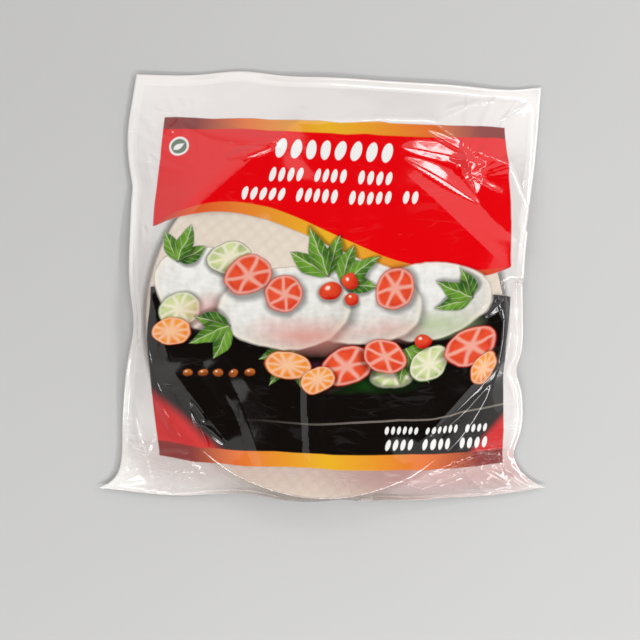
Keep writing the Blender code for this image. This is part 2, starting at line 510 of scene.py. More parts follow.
CREASES = (
    # the crumple at the far left corner of the print
    Crease((-102, 96), (-105, 101), 0.8),
    Crease((-102, 96), (-97, 102), 0.8),
    Crease((-102, 96), (-100, 90), 0.8),
    Crease((-102, 96), (-107, 92), 0.8),
    # the star of folds near the far right
    Crease((41, 87), (86, 80), 1.9),
    Crease((56, 97), (84, 82), 1.3),
    Crease((43, 80), (89, 54), 1.6, 0.8),
    Crease((78, 88), (87, 60), 2.0),
    Crease((70, 81), (92, 77), 1.6),
    Crease((82, 71), (103, 61), 0.8),
    Crease((82, 81), (97, 91), 0.6),
    # the crease round the right side of the stack, which leaves it near the middle
    Crease((114, -14), (109, -48), 1.6),
    Crease((111, -38), (64, -88), 1.7),
    # the crumple by the right edge
    Crease((95, -15), (114, 5), 1.5),
    Crease((93, -9), (107, 3), 1.1),
    Crease((98, -5), (112, -1), 0.9),
    Crease((101, 3), (106, -16), 0.9),
    Crease((106, 5), (112, -9), 0.9),
    Crease((111, 4), (118, -8), 0.9),
    # the double fold at the near right and the crumple that it ends in
    Crease((50, -120), (106, -95), 1.7),
    Crease((57, -124), (99, -104), 1.3),
    Crease((98, -93), (110, -112), 1.1),
    Crease((105, -91), (97, -110), 1.1),
    Crease((107, -93), (115, -116), 1.1),
    Crease((95, -100), (114, -106), 0.9),
    Crease((69, -121), (92, -112), 0.8),
    Crease((79, -124), (86, -116), 0.7),
    Crease((97, -121), (104, -113), 0.7),
    Crease((110, -106), (130, -120), 1.2),
    Crease((106, -122), (134, -118), 0.8),
    # glints on the near left of the print
    Crease((-103, -72), (-87, -95), 0.8),
    Crease((-82, -72), (-72, -85), 0.7),
    Crease((-75, -86), (-60, -98), 0.7),
    Crease((-81, -78), (-70, -100), 0.6),
    # the star of folds in the near left margin
    Crease((-109, -109), (-122, -100), 0.9),
    Crease((-109, -109), (-117, -84), 0.9),
    Crease((-109, -109), (-104, -93), 0.8),
    Crease((-109, -109), (-105, -125), 0.9),
    Crease((-115, -117), (-82, -108), 1),
    Crease((-85, -107), (-73, -116), 0.7),
    Crease((-108, -118), (-52, -118), 0.7, 1.5),
    # short glints in the margins
    Crease((-115, 110), (-106, 106), 0.5),
    Crease((-98, 113), (-91, 109), 0.5),
    Crease((-23, 110), (-14, 105), 0.5),
    Crease((-114, 80), (-105, 73), 0.6),
    Crease((-115, 35), (-106, 29), 0.6),
    Crease((67, 106), (88, 119), 0.7),
    Crease((67, 111), (80, 116), 0.6),
    Crease((100, 100), (112, 120), 0.8),
    Crease((101, 106), (120, 120), 0.8),
    Crease((79, 115), (102, 120), 0.6),
    Crease((119, -22), (122, -35), 0.7),
    Crease((111, -68), (126, -65), 0.7),
)


# Fans of folds in the margins: hub, bearing, spread, reach, count and height, as fan_of_folds takes them.
MARGIN_FANS = (
    ((-72, -102), 205, 60, 62, 7, 1.3),
    ((72, -98), -22, 64, 66, 8, 1.5),
    ((74, 66), 46, 70, 70, 6, 0.8),
    ((-80, 66), 134, 70, 64, 5, 0.6),
)
# Runs of folds along the margins: start and end in millimetres, and how many folds.
MARGIN_RUNS = (((-118, 92), (-120, -96), 16), ((-92, -119), (88, -121), 18), ((118, -84), (119, 70), 12))


@dataclass(frozen=True)
class PrintPlace:
    """Where the print lies on the pouch. Each side is a line through points in millimetres.

    The left and right sides are given as how far up and how far out, the far and near ends as how
    far across and how far up.
    """

    left: Line = (
        (100, -105.4), (92, -106.0), (62, -108.0), (30, -109.6), (-36, -109.6), (-80, -105.0), (-108, -101.0),
    )
    right: Line = ((103, 103.5), (50, 108.0), (10, 110.4), (-16, 110.5), (-60, 108.6), (-104, 110.4))
    far: Line = ((-106, 101.2), (-68, 102.2), (-20, 100.6), (60, 101.4), (104, 102.6))
    near: Line = ((-101, -107.5), (-60, -110.2), (4, -111.0), (60, -109.6), (110, -104.0))
    width: float = 212.0
    length: float = 208.0
    softening: float = 7 * MM
    heading_from: float = 0.742
    foot_to: float = 0.152
    beyond: float = 0.01

    def bend(self, side: Line, along: np.ndarray) -> np.ndarray:
        """How far out a side lies at each place along it, in metres, with its corners softened."""
        points = np.array(sorted(side)) * MM
        shifts = (-self.softening, 0.0, self.softening)
        return sum(np.interp(along + shift, points[:, 0], points[:, 1]) for shift in shifts) / len(shifts)

    def on_print(self, place: np.ndarray) -> np.ndarray:
        """Turns places on the pouch into places on the print, in shares of its width and length."""
        x, y = place[..., 0], place[..., 1]
        left, right = self.bend(self.left, y), self.bend(self.right, y)
        near, far = self.bend(self.near, x), self.bend(self.far, x)
        return np.stack([(x - left) / (right - left), (y - near) / (far - near)], axis=-1)

    def zones(self, shares: np.ndarray) -> np.ndarray:
        """The material slot for each place on or beside the print.

        Args:
            shares: Places on the print, as on_print gives them.

        Returns:
            The zones' numbers.
        """
        across, up = shares[..., 0], shares[..., 1]
        half = 0.5 + self.beyond
        beside = (np.abs(across - 0.5) > half) | (np.abs(up - 0.5) > half)
        third = Zone.PICTURE_LEFT.value + (across > 1 / 3) + (across > 2 / 3)
        on = np.where(up < self.foot_to, Zone.FOOT.value, third)
        on = np.where(up > self.heading_from, Zone.HEADING.value, on)
        return np.where(beside, Zone.MARGIN.value, on)


CRUMPLED_SPOTS = (
    # across, up, reach in millimetres, and how strongly
    (106, -4, 14, 1.0),
    (-102, 97, 9, 0.7),
    (-112, -104, 15, 0.45),
    (104, -104, 20, 0.7),
    (104, 112, 14, 0.5),
)


def crumple(place: np.ndarray) -> np.ndarray:
    """How crumpled the film is at each place, from 0 to 1."""
    total = np.zeros(place.shape[:-1])
    for x, y, reach, strength in CRUMPLED_SPOTS:
        distance = np.hypot(place[..., 0] / MM - x, place[..., 1] / MM - y)
        total = np.maximum(total, strength * (1 - smoothstep(0.3 * reach, reach, distance)))
    return total


@dataclass
class PouchFilm:
    """The pouch's film: a closed envelope with a printed front, a plain back and welded edges.

    The film's form is worked out on an even grid, from coarse to fine: passes gives how many times
    coarser the grid is, and how many rounds the film is relaxed for. The front's mesh is coarser than
    that grid where the film is plain, and finer where a fold turns sharply.
    """

    outline: WeldedOutline
    stack: StackPlace
    form_spacing: float = 1.0 * MM
    front_spacing: float = 1.5 * MM
    back_spacing: float = 2.4 * MM
    fold_cuts: int = 2
    weld_width: float = 5.0 * MM
    calm_edge: float = 8.0 * MM
    film: float = 0.12 * MM
    table_gap: float = 0.15 * MM
    loose_rim: float = 9.0 * MM
    air_lift: float = 6.0
    flat_depth: float = 1.0 * MM
    passes: tuple[tuple[int, int], ...] = ((8, 500), (4, 300), (2, 160), (1, 60))
    size: tuple[float, float] = field(init=False)
    front_form: np.ndarray = field(init=False)
    back_form: np.ndarray = field(init=False)
    folds: list[Fold] = field(init=False)

    def __post_init__(self) -> None:
        """Works out the taut front and back."""
        low, high = CAD_BOX
        self.size = (high.x - low.x, high.y - low.y)
        along, across = self.grid(self.form_spacing)
        place = self.outline.patch(across, along)
        edge = self.edge_distance(*self.even_shares(along, across))
        back = self.taut(along, across, None)
        slack = smoothstep(4 * MM, 16 * MM, self.stack.distance(place) - self.stack.radius)
        slack = slack * smoothstep(0.0, self.weld_width, edge)
        waves = facets(place.reshape(-1, 3), 16 * MM, 0.6 * MM, seed=41).reshape(along, across)
        back = np.maximum(back + waves * slack, self.table_gap)
        back_along, back_across = self.grid(self.back_spacing)
        self.back_form = self.outline.patch(back_across, back_along)
        self.back_form[..., 2] = finer(back, back_along, back_across)
        floor = finer(self.back_form[..., 2], along, across) + self.film
        self.front_form = np.dstack([place[..., :2], self.taut(along, across, floor), floor])
        self.folds = list(BROAD_FOLDS) + list(self.folds_of_creases())

    def grid(self, spacing: float) -> tuple[int, int]:
        """How many points along and across give about this spacing."""
        return round(self.size[1] / spacing) + 1, round(self.size[0] / spacing) + 1

    def even_shares(self, along: int, across: int) -> tuple[np.ndarray, np.ndarray]:
        """The shares of the width and of the length at each point of an even grid."""
        return np.meshgrid(np.linspace(0, 1, across), np.linspace(0, 1, along))

    def edge_distance(self, across: np.ndarray, along: np.ndarray) -> np.ndarray:
        """How far each point of the flat film is from its nearest cut edge."""
        sideways = np.minimum(across, 1 - across) * self.size[0]
        return np.minimum(sideways, np.minimum(along, 1 - along) * self.size[1])

    def taut(self, along: int, across: int, floor: np.ndarray | None) -> np.ndarray:
        """The height of the taut film, worked out from coarse to fine.

        Args:
            along: How many points run along the grid.
            across: How many points run across it.
            floor: For the front, the height of the back film under it; None for the back itself.

        Returns:
            The heights.
        """
        height = None
        for divisor, rounds in self.passes:
            rows, columns = (along, across) if divisor == 1 else (along // divisor + 1, across // divisor + 1)
            place = self.outline.patch(columns, rows)
            fixed = np.ones((rows, columns), bool)
            fixed[1:-1, 1:-1] = False
            from_axis = self.stack.distance(place)
            if floor is None:
                start = place[..., 2].copy()
                low = np.full((rows, columns), self.table_gap)
                high = np.where(from_axis < self.stack.radius - 0.5 * MM, self.table_gap, 1.0)
                lift = 0.0
            else:
                start = finer(floor, rows, columns)
                clear_of_stack = from_axis > self.stack.radius + 3 * MM
                to_edge = self.edge_distance(*self.even_shares(rows, columns))
                fixed |= (to_edge < self.weld_width) & clear_of_stack
                low = np.maximum(self.stack.floor_under_film(place), start)
                held_down = from_axis < self.stack.radius - self.loose_rim
                held_down |= inside_outline(place, PROPPED_FILM)
                high = np.where(held_down, self.stack.top, 1.0)
                lift = self.air_lift * (self.form_spacing * divisor) ** 2 / 4
            if height is not None:
                start = np.where(fixed, start, finer(height, rows, columns))
            high[fixed] = np.maximum(high, start)[fixed]
            low[fixed] = start[fixed]
            height = relax(np.clip(start, low, high), fixed, low, high, rounds, lift)
        return height

    def folds_of_creases(self) -> Iterator[Fold]:
        """Gives each crease its flanks by how the film slopes where it lies."""
        height = self.front_form[..., 2] + sum(fold.heights(self.front_form) for fold in BROAD_FOLDS)
        place = self.front_form[..., :2].reshape(-1, 2)
        rise = np.stack(np.gradient(height, self.form_spacing)[::-1], axis=-1).reshape(-1, 2)
        for crease in CREASES:
            rises = []
            for spot in crease.stations:
                nearest = np.argpartition(np.hypot(*(place - spot).T), NEAREST_POINTS)[:NEAREST_POINTS]
                rises.append(rise[nearest].mean(axis=0))
            yield crease.fold(-np.array(rises))

    def front_lift(self, place: np.ndarray, edge: np.ndarray) -> np.ndarray:
        """How far folds and crumples lift the front film off its taut form."""
        past_rim = self.stack.distance(place) - self.stack.radius
        margin = smoothstep(-4 * MM, 10 * MM, past_rim)
        loose = margin * smoothstep(0.0, self.calm_edge, edge)
        loose *= 1 - 0.7 * smoothstep(-60 * MM, 70 * MM, place[:, 1])  # the far margins are calmer
        lift = np.zeros(len(place))
        for fold in self.folds:
            lift += fold.heights(place)
        for fold in self.margin_folds():
            lift += fold.heights(place) * margin
        lift += facets(place, 34 * MM, 0.15 * MM, seed=4)
        lift += facets(place, 15 * MM, 0.9 * MM, seed=11) * loose
        lift += facets(place, 7 * MM, 0.34 * MM, seed=23) * loose
        lift += facets(place, 4.6 * MM, 0.34 * MM, seed=29) * crumple(place)
        return lift

    def margin_folds(self) -> list[Fold]:
        """The folds of the loose margins, in fans from the stack's rim to the corners."""
        rng = np.random.default_rng(7)
        folds = [fold for fan in MARGIN_FANS for fold in fan_of_folds(rng, *fan)]
        return folds + list(self.folds_along_edges(rng))

    def folds_along_edges(self, rng: np.random.Generator) -> Iterator[Fold]:
        """Low folds that run about along the margins, as film does that was pulled over the stack."""
        for start, end, count in MARGIN_RUNS:
            run = np.array(end, float) - start
            along = run / np.hypot(*run)
            for share in np.linspace(0.0, 1.0, count):
                middle = start + run * share + rng.uniform(-7, 7, 2)
                turn = math.radians(rng.uniform(-24, 24))
                cosine, sine = math.cos(turn), math.sin(turn)
                way = np.array((along[0] * cosine - along[1] * sine, along[0] * sine + along[1] * cosine))
                half = way * rng.uniform(8, 20)
                height = rng.uniform(0.3, 0.8)
                widths = height / rng.uniform(0.2, 0.5, 2)
                ends = (tuple(middle - half), tuple(middle + half))
                yield Fold(*ends, height, *widths, rng.uniform(-1.5, 1.5))

    def build(self) -> bpy.types.Object:
        """Makes the envelope flat, the front grid over the back grid, and then gives it its form."""
        bm = bmesh.new()
        self.add_flat_grid(bm, *self.grid(self.front_spacing), 0.0, Zone.MARGIN)
        self.refine_folds(bm)
        self.add_flat_grid(bm, *self.grid(self.back_spacing), -self.flat_depth, Zone.BACK)
        bmesh.ops.bridge_loops(bm, edges=open_edges(bm))
        bmesh.ops.recalc_face_normals(bm, faces=bm.faces)
        layer = bm.verts.layers.float_vector.new("flat_place")
        for vert in bm.verts:
            vert[layer] = vert.co
        film = finish_mesh(bm, "pouch_film")
        self.give_form(film.data)
        self.mark_print(film.data)
        return film

    def add_flat_grid(self, bm: bmesh.types.BMesh, along: int, across: int, level: float, zone: Zone) -> None:
        """Adds one flat side of the envelope, with its near left corner at the origin."""
        made = bmesh.ops.create_grid(bm, x_segments=across - 1, y_segments=along - 1, size=1.0)["verts"]
        for vert in made:
            vert.co = ((vert.co.x + 1) / 2 * self.size[0], (vert.co.y + 1) / 2 * self.size[1], level)
        for face in {face for vert in made for face in vert.link_faces}:
            face.material_index = zone.value

    def refine_folds(self, bm: bmesh.types.BMesh) -> None:
        """Splits the flat faces where a fold turns sharply or the film is crumpled."""
        flat = np.array([vert.co[:] for vert in bm.verts])
        place = self.formed(flat, self.front_form)
        reach = 0.75 * self.front_spacing
        sharp = np.zeros(len(place), bool)
        for fold in self.folds:
            sharp |= fold.sharp(place, reach)
        sharp |= crumple(place) > 0.25
        sharp &= self.edge_distance(flat[:, 0] / self.size[0], flat[:, 1] / self.size[1]) > self.front_spacing
        bm.verts.index_update()
        edges = [edge for edge in bm.edges if sharp[edge.verts[0].index] and sharp[edge.verts[1].index]]
        bmesh.ops.subdivide_edges(bm, edges=edges, cuts=self.fold_cuts, use_grid_fill=True)

    def formed(self, flat: np.ndarray, form: np.ndarray) -> np.ndarray:
        """Reads a form at places on the flat film, between the form's own points."""
        rows, columns = form.shape[:2]
        x = np.clip(flat[:, 0] / self.size[0], 0, 1) * (columns - 1)
        y = np.clip(flat[:, 1] / self.size[1], 0, 1) * (rows - 1)
        column = np.minimum(x.astype(int), columns - 2)
        row = np.minimum(y.astype(int), rows - 2)
        x, y = (x - column)[:, None], (y - row)[:, None]
        near = form[row, column] * (1 - x) + form[row, column + 1] * x
        far = form[row + 1, column] * (1 - x) + form[row + 1, column + 1] * x
        return near * (1 - y) + far * y

    def give_form(self, mesh: bpy.types.Mesh) -> None:
        """Moves the flat envelope's points to their places."""
        flat = np.zeros(len(mesh.vertices) * 3)
        mesh.vertices.foreach_get("co", flat)
        flat = flat.reshape(-1, 3)
        on_back = flat[:, 2] < -self.flat_depth / 2
        edge = self.edge_distance(flat[:, 0] / self.size[0], flat[:, 1] / self.size[1])
        front = self.formed(flat, self.front_form)
        floor = front[:, 3]
        height = front[:, 2] + self.front_lift(front, edge) * smoothstep(0.0, self.calm_edge, edge)
        height = np.maximum(height, np.maximum(floor, self.stack.floor_under_film(front)))
        height = np.where(edge < 0.01 * MM, floor, height)
        place = np.column_stack([front[:, :2], height])
        place = np.where(on_back[:, None], self.formed(flat, self.back_form), place)
        mesh.vertices.foreach_set("co", place.ravel())
        mesh.update()

    def mark_print(self, mesh: bpy.types.Mesh) -> None:
        """Gives each point its place on the print, pulled about by the slack, and how crumpled it is."""
        count = len(mesh.vertices)
        place = np.zeros(count * 3)
        mesh.vertices.foreach_get("co", place)
        place = place.reshape(count, 3)
        place[:, 0] += facets(place, 24 * MM, 1.1 * MM, seed=51)
        place[:, 1] += facets(place, 24 * MM, 1.1 * MM, seed=52)
        shares = np.zeros((count, 3), np.float32)
        shares[:, :2] = PrintPlace().on_print(place)
        shares[:, 2] = crumple(place)
        attribute = mesh.attributes.new("on_print", "FLOAT_VECTOR", "POINT")
        attribute.data.foreach_set("vector", shares.ravel())
        self.sort_faces(mesh, PrintPlace().zones(shares))

    def sort_faces(self, mesh: bpy.types.Mesh, zones: np.ndarray) -> None:
        """Gives each face of the front its zone's material slot, by its first corner."""
        first = np.zeros(len(mesh.polygons), np.int32)
        mesh.polygons.foreach_get("loop_start", first)
        corners = np.zeros(len(mesh.loops), np.int32)
        mesh.loops.foreach_get("vertex_index", corners)
        slots = np.zeros(len(mesh.polygons), np.int32)
        mesh.polygons.foreach_get("material_index", slots)
        slots = np.where(slots == Zone.BACK.value, slots, zones[corners[first]]).astype(np.int32)
        mesh.polygons.foreach_set("material_index", slots)


def open_edges(bm: bmesh.types.BMesh) -> list[bmesh.types.BMEdge]:
    """The edges that only one face uses."""
    return [edge for edge in bm.edges if edge.is_boundary]


def finish_mesh(bm: bmesh.types.BMesh, name: str) -> bpy.types.Object:
    """Turns a finished bmesh into a smooth-shaded object in the scene."""
    mesh = bpy.data.meshes.new(name)
    bm.to_mesh(mesh)
    bm.free()
    mesh.shade_smooth()
    piece = bpy.data.objects.new(name, mesh)
    bpy.context.scene.collection.objects.link(piece)
    return piece


# ---------------------------------------------------------------------------------------------
# The stack of rice paper
# ---------------------------------------------------------------------------------------------


@dataclass
class RicePaperStack:
    """Round sheets of rice paper, each with the mat's weave pressed into it.

    The top and bottom sheets carry the weave in their shape. The sheets between them show only
    their rims, so they are plain discs, each a little wavy and out of place.
    """

    place: StackPlace
    top_of_paper: float = 22.4 * MM
    bottom_of_paper: float = 0.3 * MM
    sheets_between: int = 42
    sheet_gap: float = 0.08 * MM
    sheet_lift: float = 0.05 * MM
    thickness: float = 0.38 * MM
    radius: float = 108.4 * MM
    weave_depth: float = 0.16 * MM
    strip: float = 6.6 * MM
    weave_turn: float = math.radians(41)
    cells_across: int = 176
    rim_points: int = 144

    def build(self) -> list[bpy.types.Object]:
        """Makes the top sheet, the bottom sheet and the sheets between them."""
        top = self.woven_sheet("top_sheet", self.top_of_paper, 1.0)
        bottom = self.woven_sheet("bottom_sheet", self.bottom_of_paper, -1.0)
        return [top, bottom, self.sheets_in_stack()]

    def weave(self, x: np.ndarray, y: np.ndarray) -> np.ndarray:
        """The pressed weave's height, from 0 to 1: crossed strips that pass over and under."""
        u = (x * math.cos(self.weave_turn) + y * math.sin(self.weave_turn)) / self.strip
        v = (-x * math.sin(self.weave_turn) + y * math.cos(self.weave_turn)) / self.strip
        over = (np.floor(u) + np.floor(v)) % 2 == 0
        across = np.where(over, v, u)
        along = np.where(over, u, v)
        crown = np.abs(np.sin(np.pi * across)) ** 0.6
        return crown * (0.55 + 0.45 * np.abs(np.sin(np.pi * along)))

    def woven_sheet(self, name: str, level: float, facing: float) -> bpy.types.Object:
        """Makes one whole sheet whose outer face is woven.

        Args:
            name: The piece's name.
            level: Height of the woven face's crests.
            facing: 1 where the woven face looks up, -1 where it looks down.

        Returns:
            The sheet.
        """
        bm = bmesh.new()
        relief = bm.verts.layers.float.new("relief")
        bmesh.ops.create_grid(bm, x_segments=self.cells_across, y_segments=self.cells_across, size=1.0)
        for vert in bm.verts:
            x, y = self.square_to_round(vert.co.x, vert.co.y)
            height = float(self.weave(np.float64(x), np.float64(y)))
            vert[relief] = height
            depth = self.weave_depth * (1 - height)
            vert.co = (self.place.x + x, self.place.y + y, level - facing * depth)
        walls = bmesh.ops.extrude_edge_only(bm, edges=open_edges(bm))["geom"]
        for vert in (item for item in walls if isinstance(item, bmesh.types.BMVert)):
            vert.co.z = level - facing * (self.thickness + self.weave_depth)
        bmesh.ops.edgeloop_fill(bm, edges=open_edges(bm))
        bmesh.ops.recalc_face_normals(bm, faces=bm.faces)
        return finish_mesh(bm, name)

    def square_to_round(self, x: float, y: float) -> tuple[float, float]:
        """Carries a place in the square from -1 to 1 to its place in the round sheet."""
        reach = max(abs(x), abs(y))
        if reach == 0:
            return 0.0, 0.0
        if abs(x) > abs(y):
            angle = math.pi / 4 * y / x + (math.pi if x < 0 else 0.0)
        else:
            angle = math.pi / 2 - math.pi / 4 * x / y + (math.pi if y < 0 else 0.0)
        wave = 1 + 0.003 * math.sin(3 * angle + 0.7) * reach
        distance = self.radius * reach * wave
        return distance * math.cos(angle), distance * math.sin(angle)

    def sheets_in_stack(self) -> bpy.types.Object:
        """Makes the sheets between the top and bottom ones, as one piece."""
        rng = np.random.default_rng(19)
        bm = bmesh.new()
        room = self.thickness + self.weave_depth
        low = self.bottom_of_paper + room
        high = self.top_of_paper - room
        pitch = (high - low) / self.sheets_between
        for sheet in range(self.sheets_between):
            shift = rng.uniform(-0.8, 0.8, 2) * MM
            waves = rng.uniform(0, 2 * math.pi, 3)
            radius = self.radius + rng.uniform(-0.7, 0.4) * MM
            level = low + sheet * pitch + self.sheet_lift
            circle = bmesh.ops.create_circle(bm, cap_ends=True, segments=self.rim_points, radius=radius)
            made = circle["verts"]
            for vert in made:
                angle = math.atan2(vert.co.y, vert.co.x)
                wave = 0.35 * MM * math.sin(2 * angle + waves[0]) + 0.2 * MM * math.sin(5 * angle + waves[1])
                vert.co *= 1 + wave / radius
                vert.co.x += self.place.x + shift[0]
                vert.co.y += self.place.y + shift[1]
                vert.co.z = level
            upper = bmesh.ops.extrude_face_region(bm, geom=[made[0].link_faces[0]])["geom"]
            lifted = [item for item in upper if isinstance(item, bmesh.types.BMVert)]
            bmesh.ops.translate(bm, verts=lifted, vec=(0, 0, min(self.thickness, pitch - self.sheet_gap)))
        bmesh.ops.recalc_face_normals(bm, faces=bm.faces)
        return finish_mesh(bm, STACK_PIECE)


# ---------------------------------------------------------------------------------------------
# Shader building
# ---------------------------------------------------------------------------------------------


@dataclass
class NodeDesk:
    """Writes the nodes of one tree in short steps."""

    tree: bpy.types.NodeTree

    def add(self, kind: str, *values: object, **settings: object) -> bpy.types.Node:
        """Adds a node.

        Args:
            kind: The node's type name.
            values: What feeds its inputs, in order; None leaves an input alone.
            settings: The node's own options.

        Returns:
            The node.
        """
        node = self.tree.nodes.new(kind)
        for name, value in settings.items():
            setattr(node, name, value)
        for socket, value in zip(node.inputs, values):
            self.feed(socket, value)
        return node

    def feed(self, socket: Socket, value: object) -> None:
        """Links a socket into an input, or sets the input's own value."""
        if isinstance(value, Socket):
            self.tree.links.new(value, socket)
        elif value is not None:
            socket.default_value = (*value, 1.0) if socket.type == "RGBA" and len(value) == 3 else value

    def math(self, operation: str, *values: object) -> Socket:
        """Adds one step of arithmetic, or a chain of steps of one kind from three values on."""
        first, *others = values
        if not others:
            return self.add("ShaderNodeMath", first, operation=operation).outputs[0]
        for value in others:
            first = self.add("ShaderNodeMath", first, value, operation=operation).outputs[0]
        return first

    def plus(self, *values: object) -> Socket:
        """The sum of the values."""
        return self.math("ADD", *values)

    def minus(self, *values: object) -> Socket:
        """The first value less the others."""
        return self.math("SUBTRACT", *values)

    def times(self, *values: object) -> Socket:
        """The product of the values."""
        return self.math("MULTIPLY", *values)

    def ratio(self, *values: object) -> Socket:
        """The first value divided by the second."""
        return self.math("DIVIDE", *values)

    def greatest(self, *values: object) -> Socket:
        """The greatest of the values."""
        return self.math("MAXIMUM", *values)

    def least(self, *values: object) -> Socket:
        """The least of the values."""
        return self.math("MINIMUM", *values)

    def size_of(self, value: object) -> Socket:
        """The value without its sign."""
        return self.math("ABSOLUTE", value)

    def distance(self, across: object, up: object) -> Socket:
        """How far a flat place is from the middle."""
        return self.math("SQRT", self.plus(self.times(across, across), self.times(up, up)))

    def vector(self, operation: str, *values: object) -> Socket:
        """Adds one step of arithmetic on vectors."""
        return self.add("ShaderNodeVectorMath", *values, operation=operation).outputs[0]

    def parts(self, vector: object) -> bpy.types.NodeOutputs:
        """A vector's three parts."""
        return self.add("ShaderNodeSeparateXYZ", vector).outputs

    def object_place(self) -> Socket:
        """The place on the piece as it stands, in metres."""
        return self.add("ShaderNodeTexCoord").outputs["Object"]

    def mapped(self, place: object, turn: float, scale: tuple[float, float, float]) -> Socket:
        """The place turned by these degrees and stretched."""
        node = self.add("ShaderNodeMapping", place)
        node.inputs["Rotation"].default_value = (0.0, 0.0, math.radians(turn))
        node.inputs["Scale"].default_value = scale
        return node.outputs[0]

    def bump(self, shader: bpy.types.Node, height: Socket, strength: float, distance: float) -> None:
        """Gives a shader's surface a relief."""
        node = self.add("ShaderNodeBump")
        node.inputs["Strength"].default_value = strength
        node.inputs["Distance"].default_value = distance
        self.feed(node.inputs["Height"], height)
        self.feed(shader.inputs["Normal"], node.outputs[0])

    def between(self, value: object, low: float, high: float) -> Socket:
        """A soft step: 0 up to low, 1 from high on. Low may be the greater one."""
        node = self.add("ShaderNodeMapRange", value, low, high, 0.0, 1.0)
        node.interpolation_type = "SMOOTHSTEP"
        return node.outputs[0]

    def over(self, share: object, below: object, above: object) -> Socket:
        """Lays one colour over another."""
        node = self.add("ShaderNodeMix", data_type="RGBA")
        self.feed(node.inputs[0], share)
        self.feed(node.inputs[6], below)
        self.feed(node.inputs[7], above)
        return node.outputs[2]

    def blend(self, share: object, low: object, high: object) -> Socket:
        """Runs from one value to another."""
        node = self.add("ShaderNodeMix", data_type="FLOAT")
        self.feed(node.inputs[0], share)
        self.feed(node.inputs[2], low)
        self.feed(node.inputs[3], high)
        return node.outputs[0]

    def ramp(self, value: object, stops: tuple[tuple[float, Colour], ...]) -> Socket:
        """A run of colours along a value from 0 to 1."""
        node = self.add("ShaderNodeValToRGB", value)
        elements = node.color_ramp.elements
        while len(elements) < len(stops):
            elements.new(0.5)
        for element, (position, colour) in zip(elements, stops):
            element.position = position
            element.color = (*colour, 1.0)
        return node.outputs[0]

    def curve(self, value: object, points: tuple[tuple[float, float], ...]) -> Socket:
        """A smooth curve through points, over values from 0 to 1."""
        node = self.add("ShaderNodeFloatCurve")
        self.feed(node.inputs["Value"], value)
        line = node.mapping.curves[0].points
        while len(line) < len(points):
            line.new(0.5, 0.5)
        for point, place in zip(line, points):
            point.location = place
        node.mapping.update()
        return node.outputs[0]

    def attribute(self, name: str) -> bpy.types.Node:
        """Reads one of the piece's own attributes."""
        return self.add("ShaderNodeAttribute", attribute_name=name)

    def noise(self, place: object, scale: object, detail: float = 2.0) -> Socket:
        """Soft cloudy noise from 0 to 1."""
        node = self.add("ShaderNodeTexNoise", place)
        self.feed(node.inputs["Scale"], scale)
        node.inputs["Detail"].default_value = detail
        return node.outputs[0]

    def group(self, tree: bpy.types.NodeTree, **inputs: object) -> bpy.types.Node:
        """Places a shared group with its own values, given by input name with _ for a space."""
        node = self.add("ShaderNodeGroup", node_tree=tree)
        for name, value in inputs.items():
            self.feed(node.inputs[name.replace("_", " ")], value)
        return node


# What each drawn shape is given besides a place: the Motif fields of the same names.
SHAPE_INPUTS = ("X", "Y", "Width", "Height", "Turn", "Soft", "Halo", "Count", "Word")


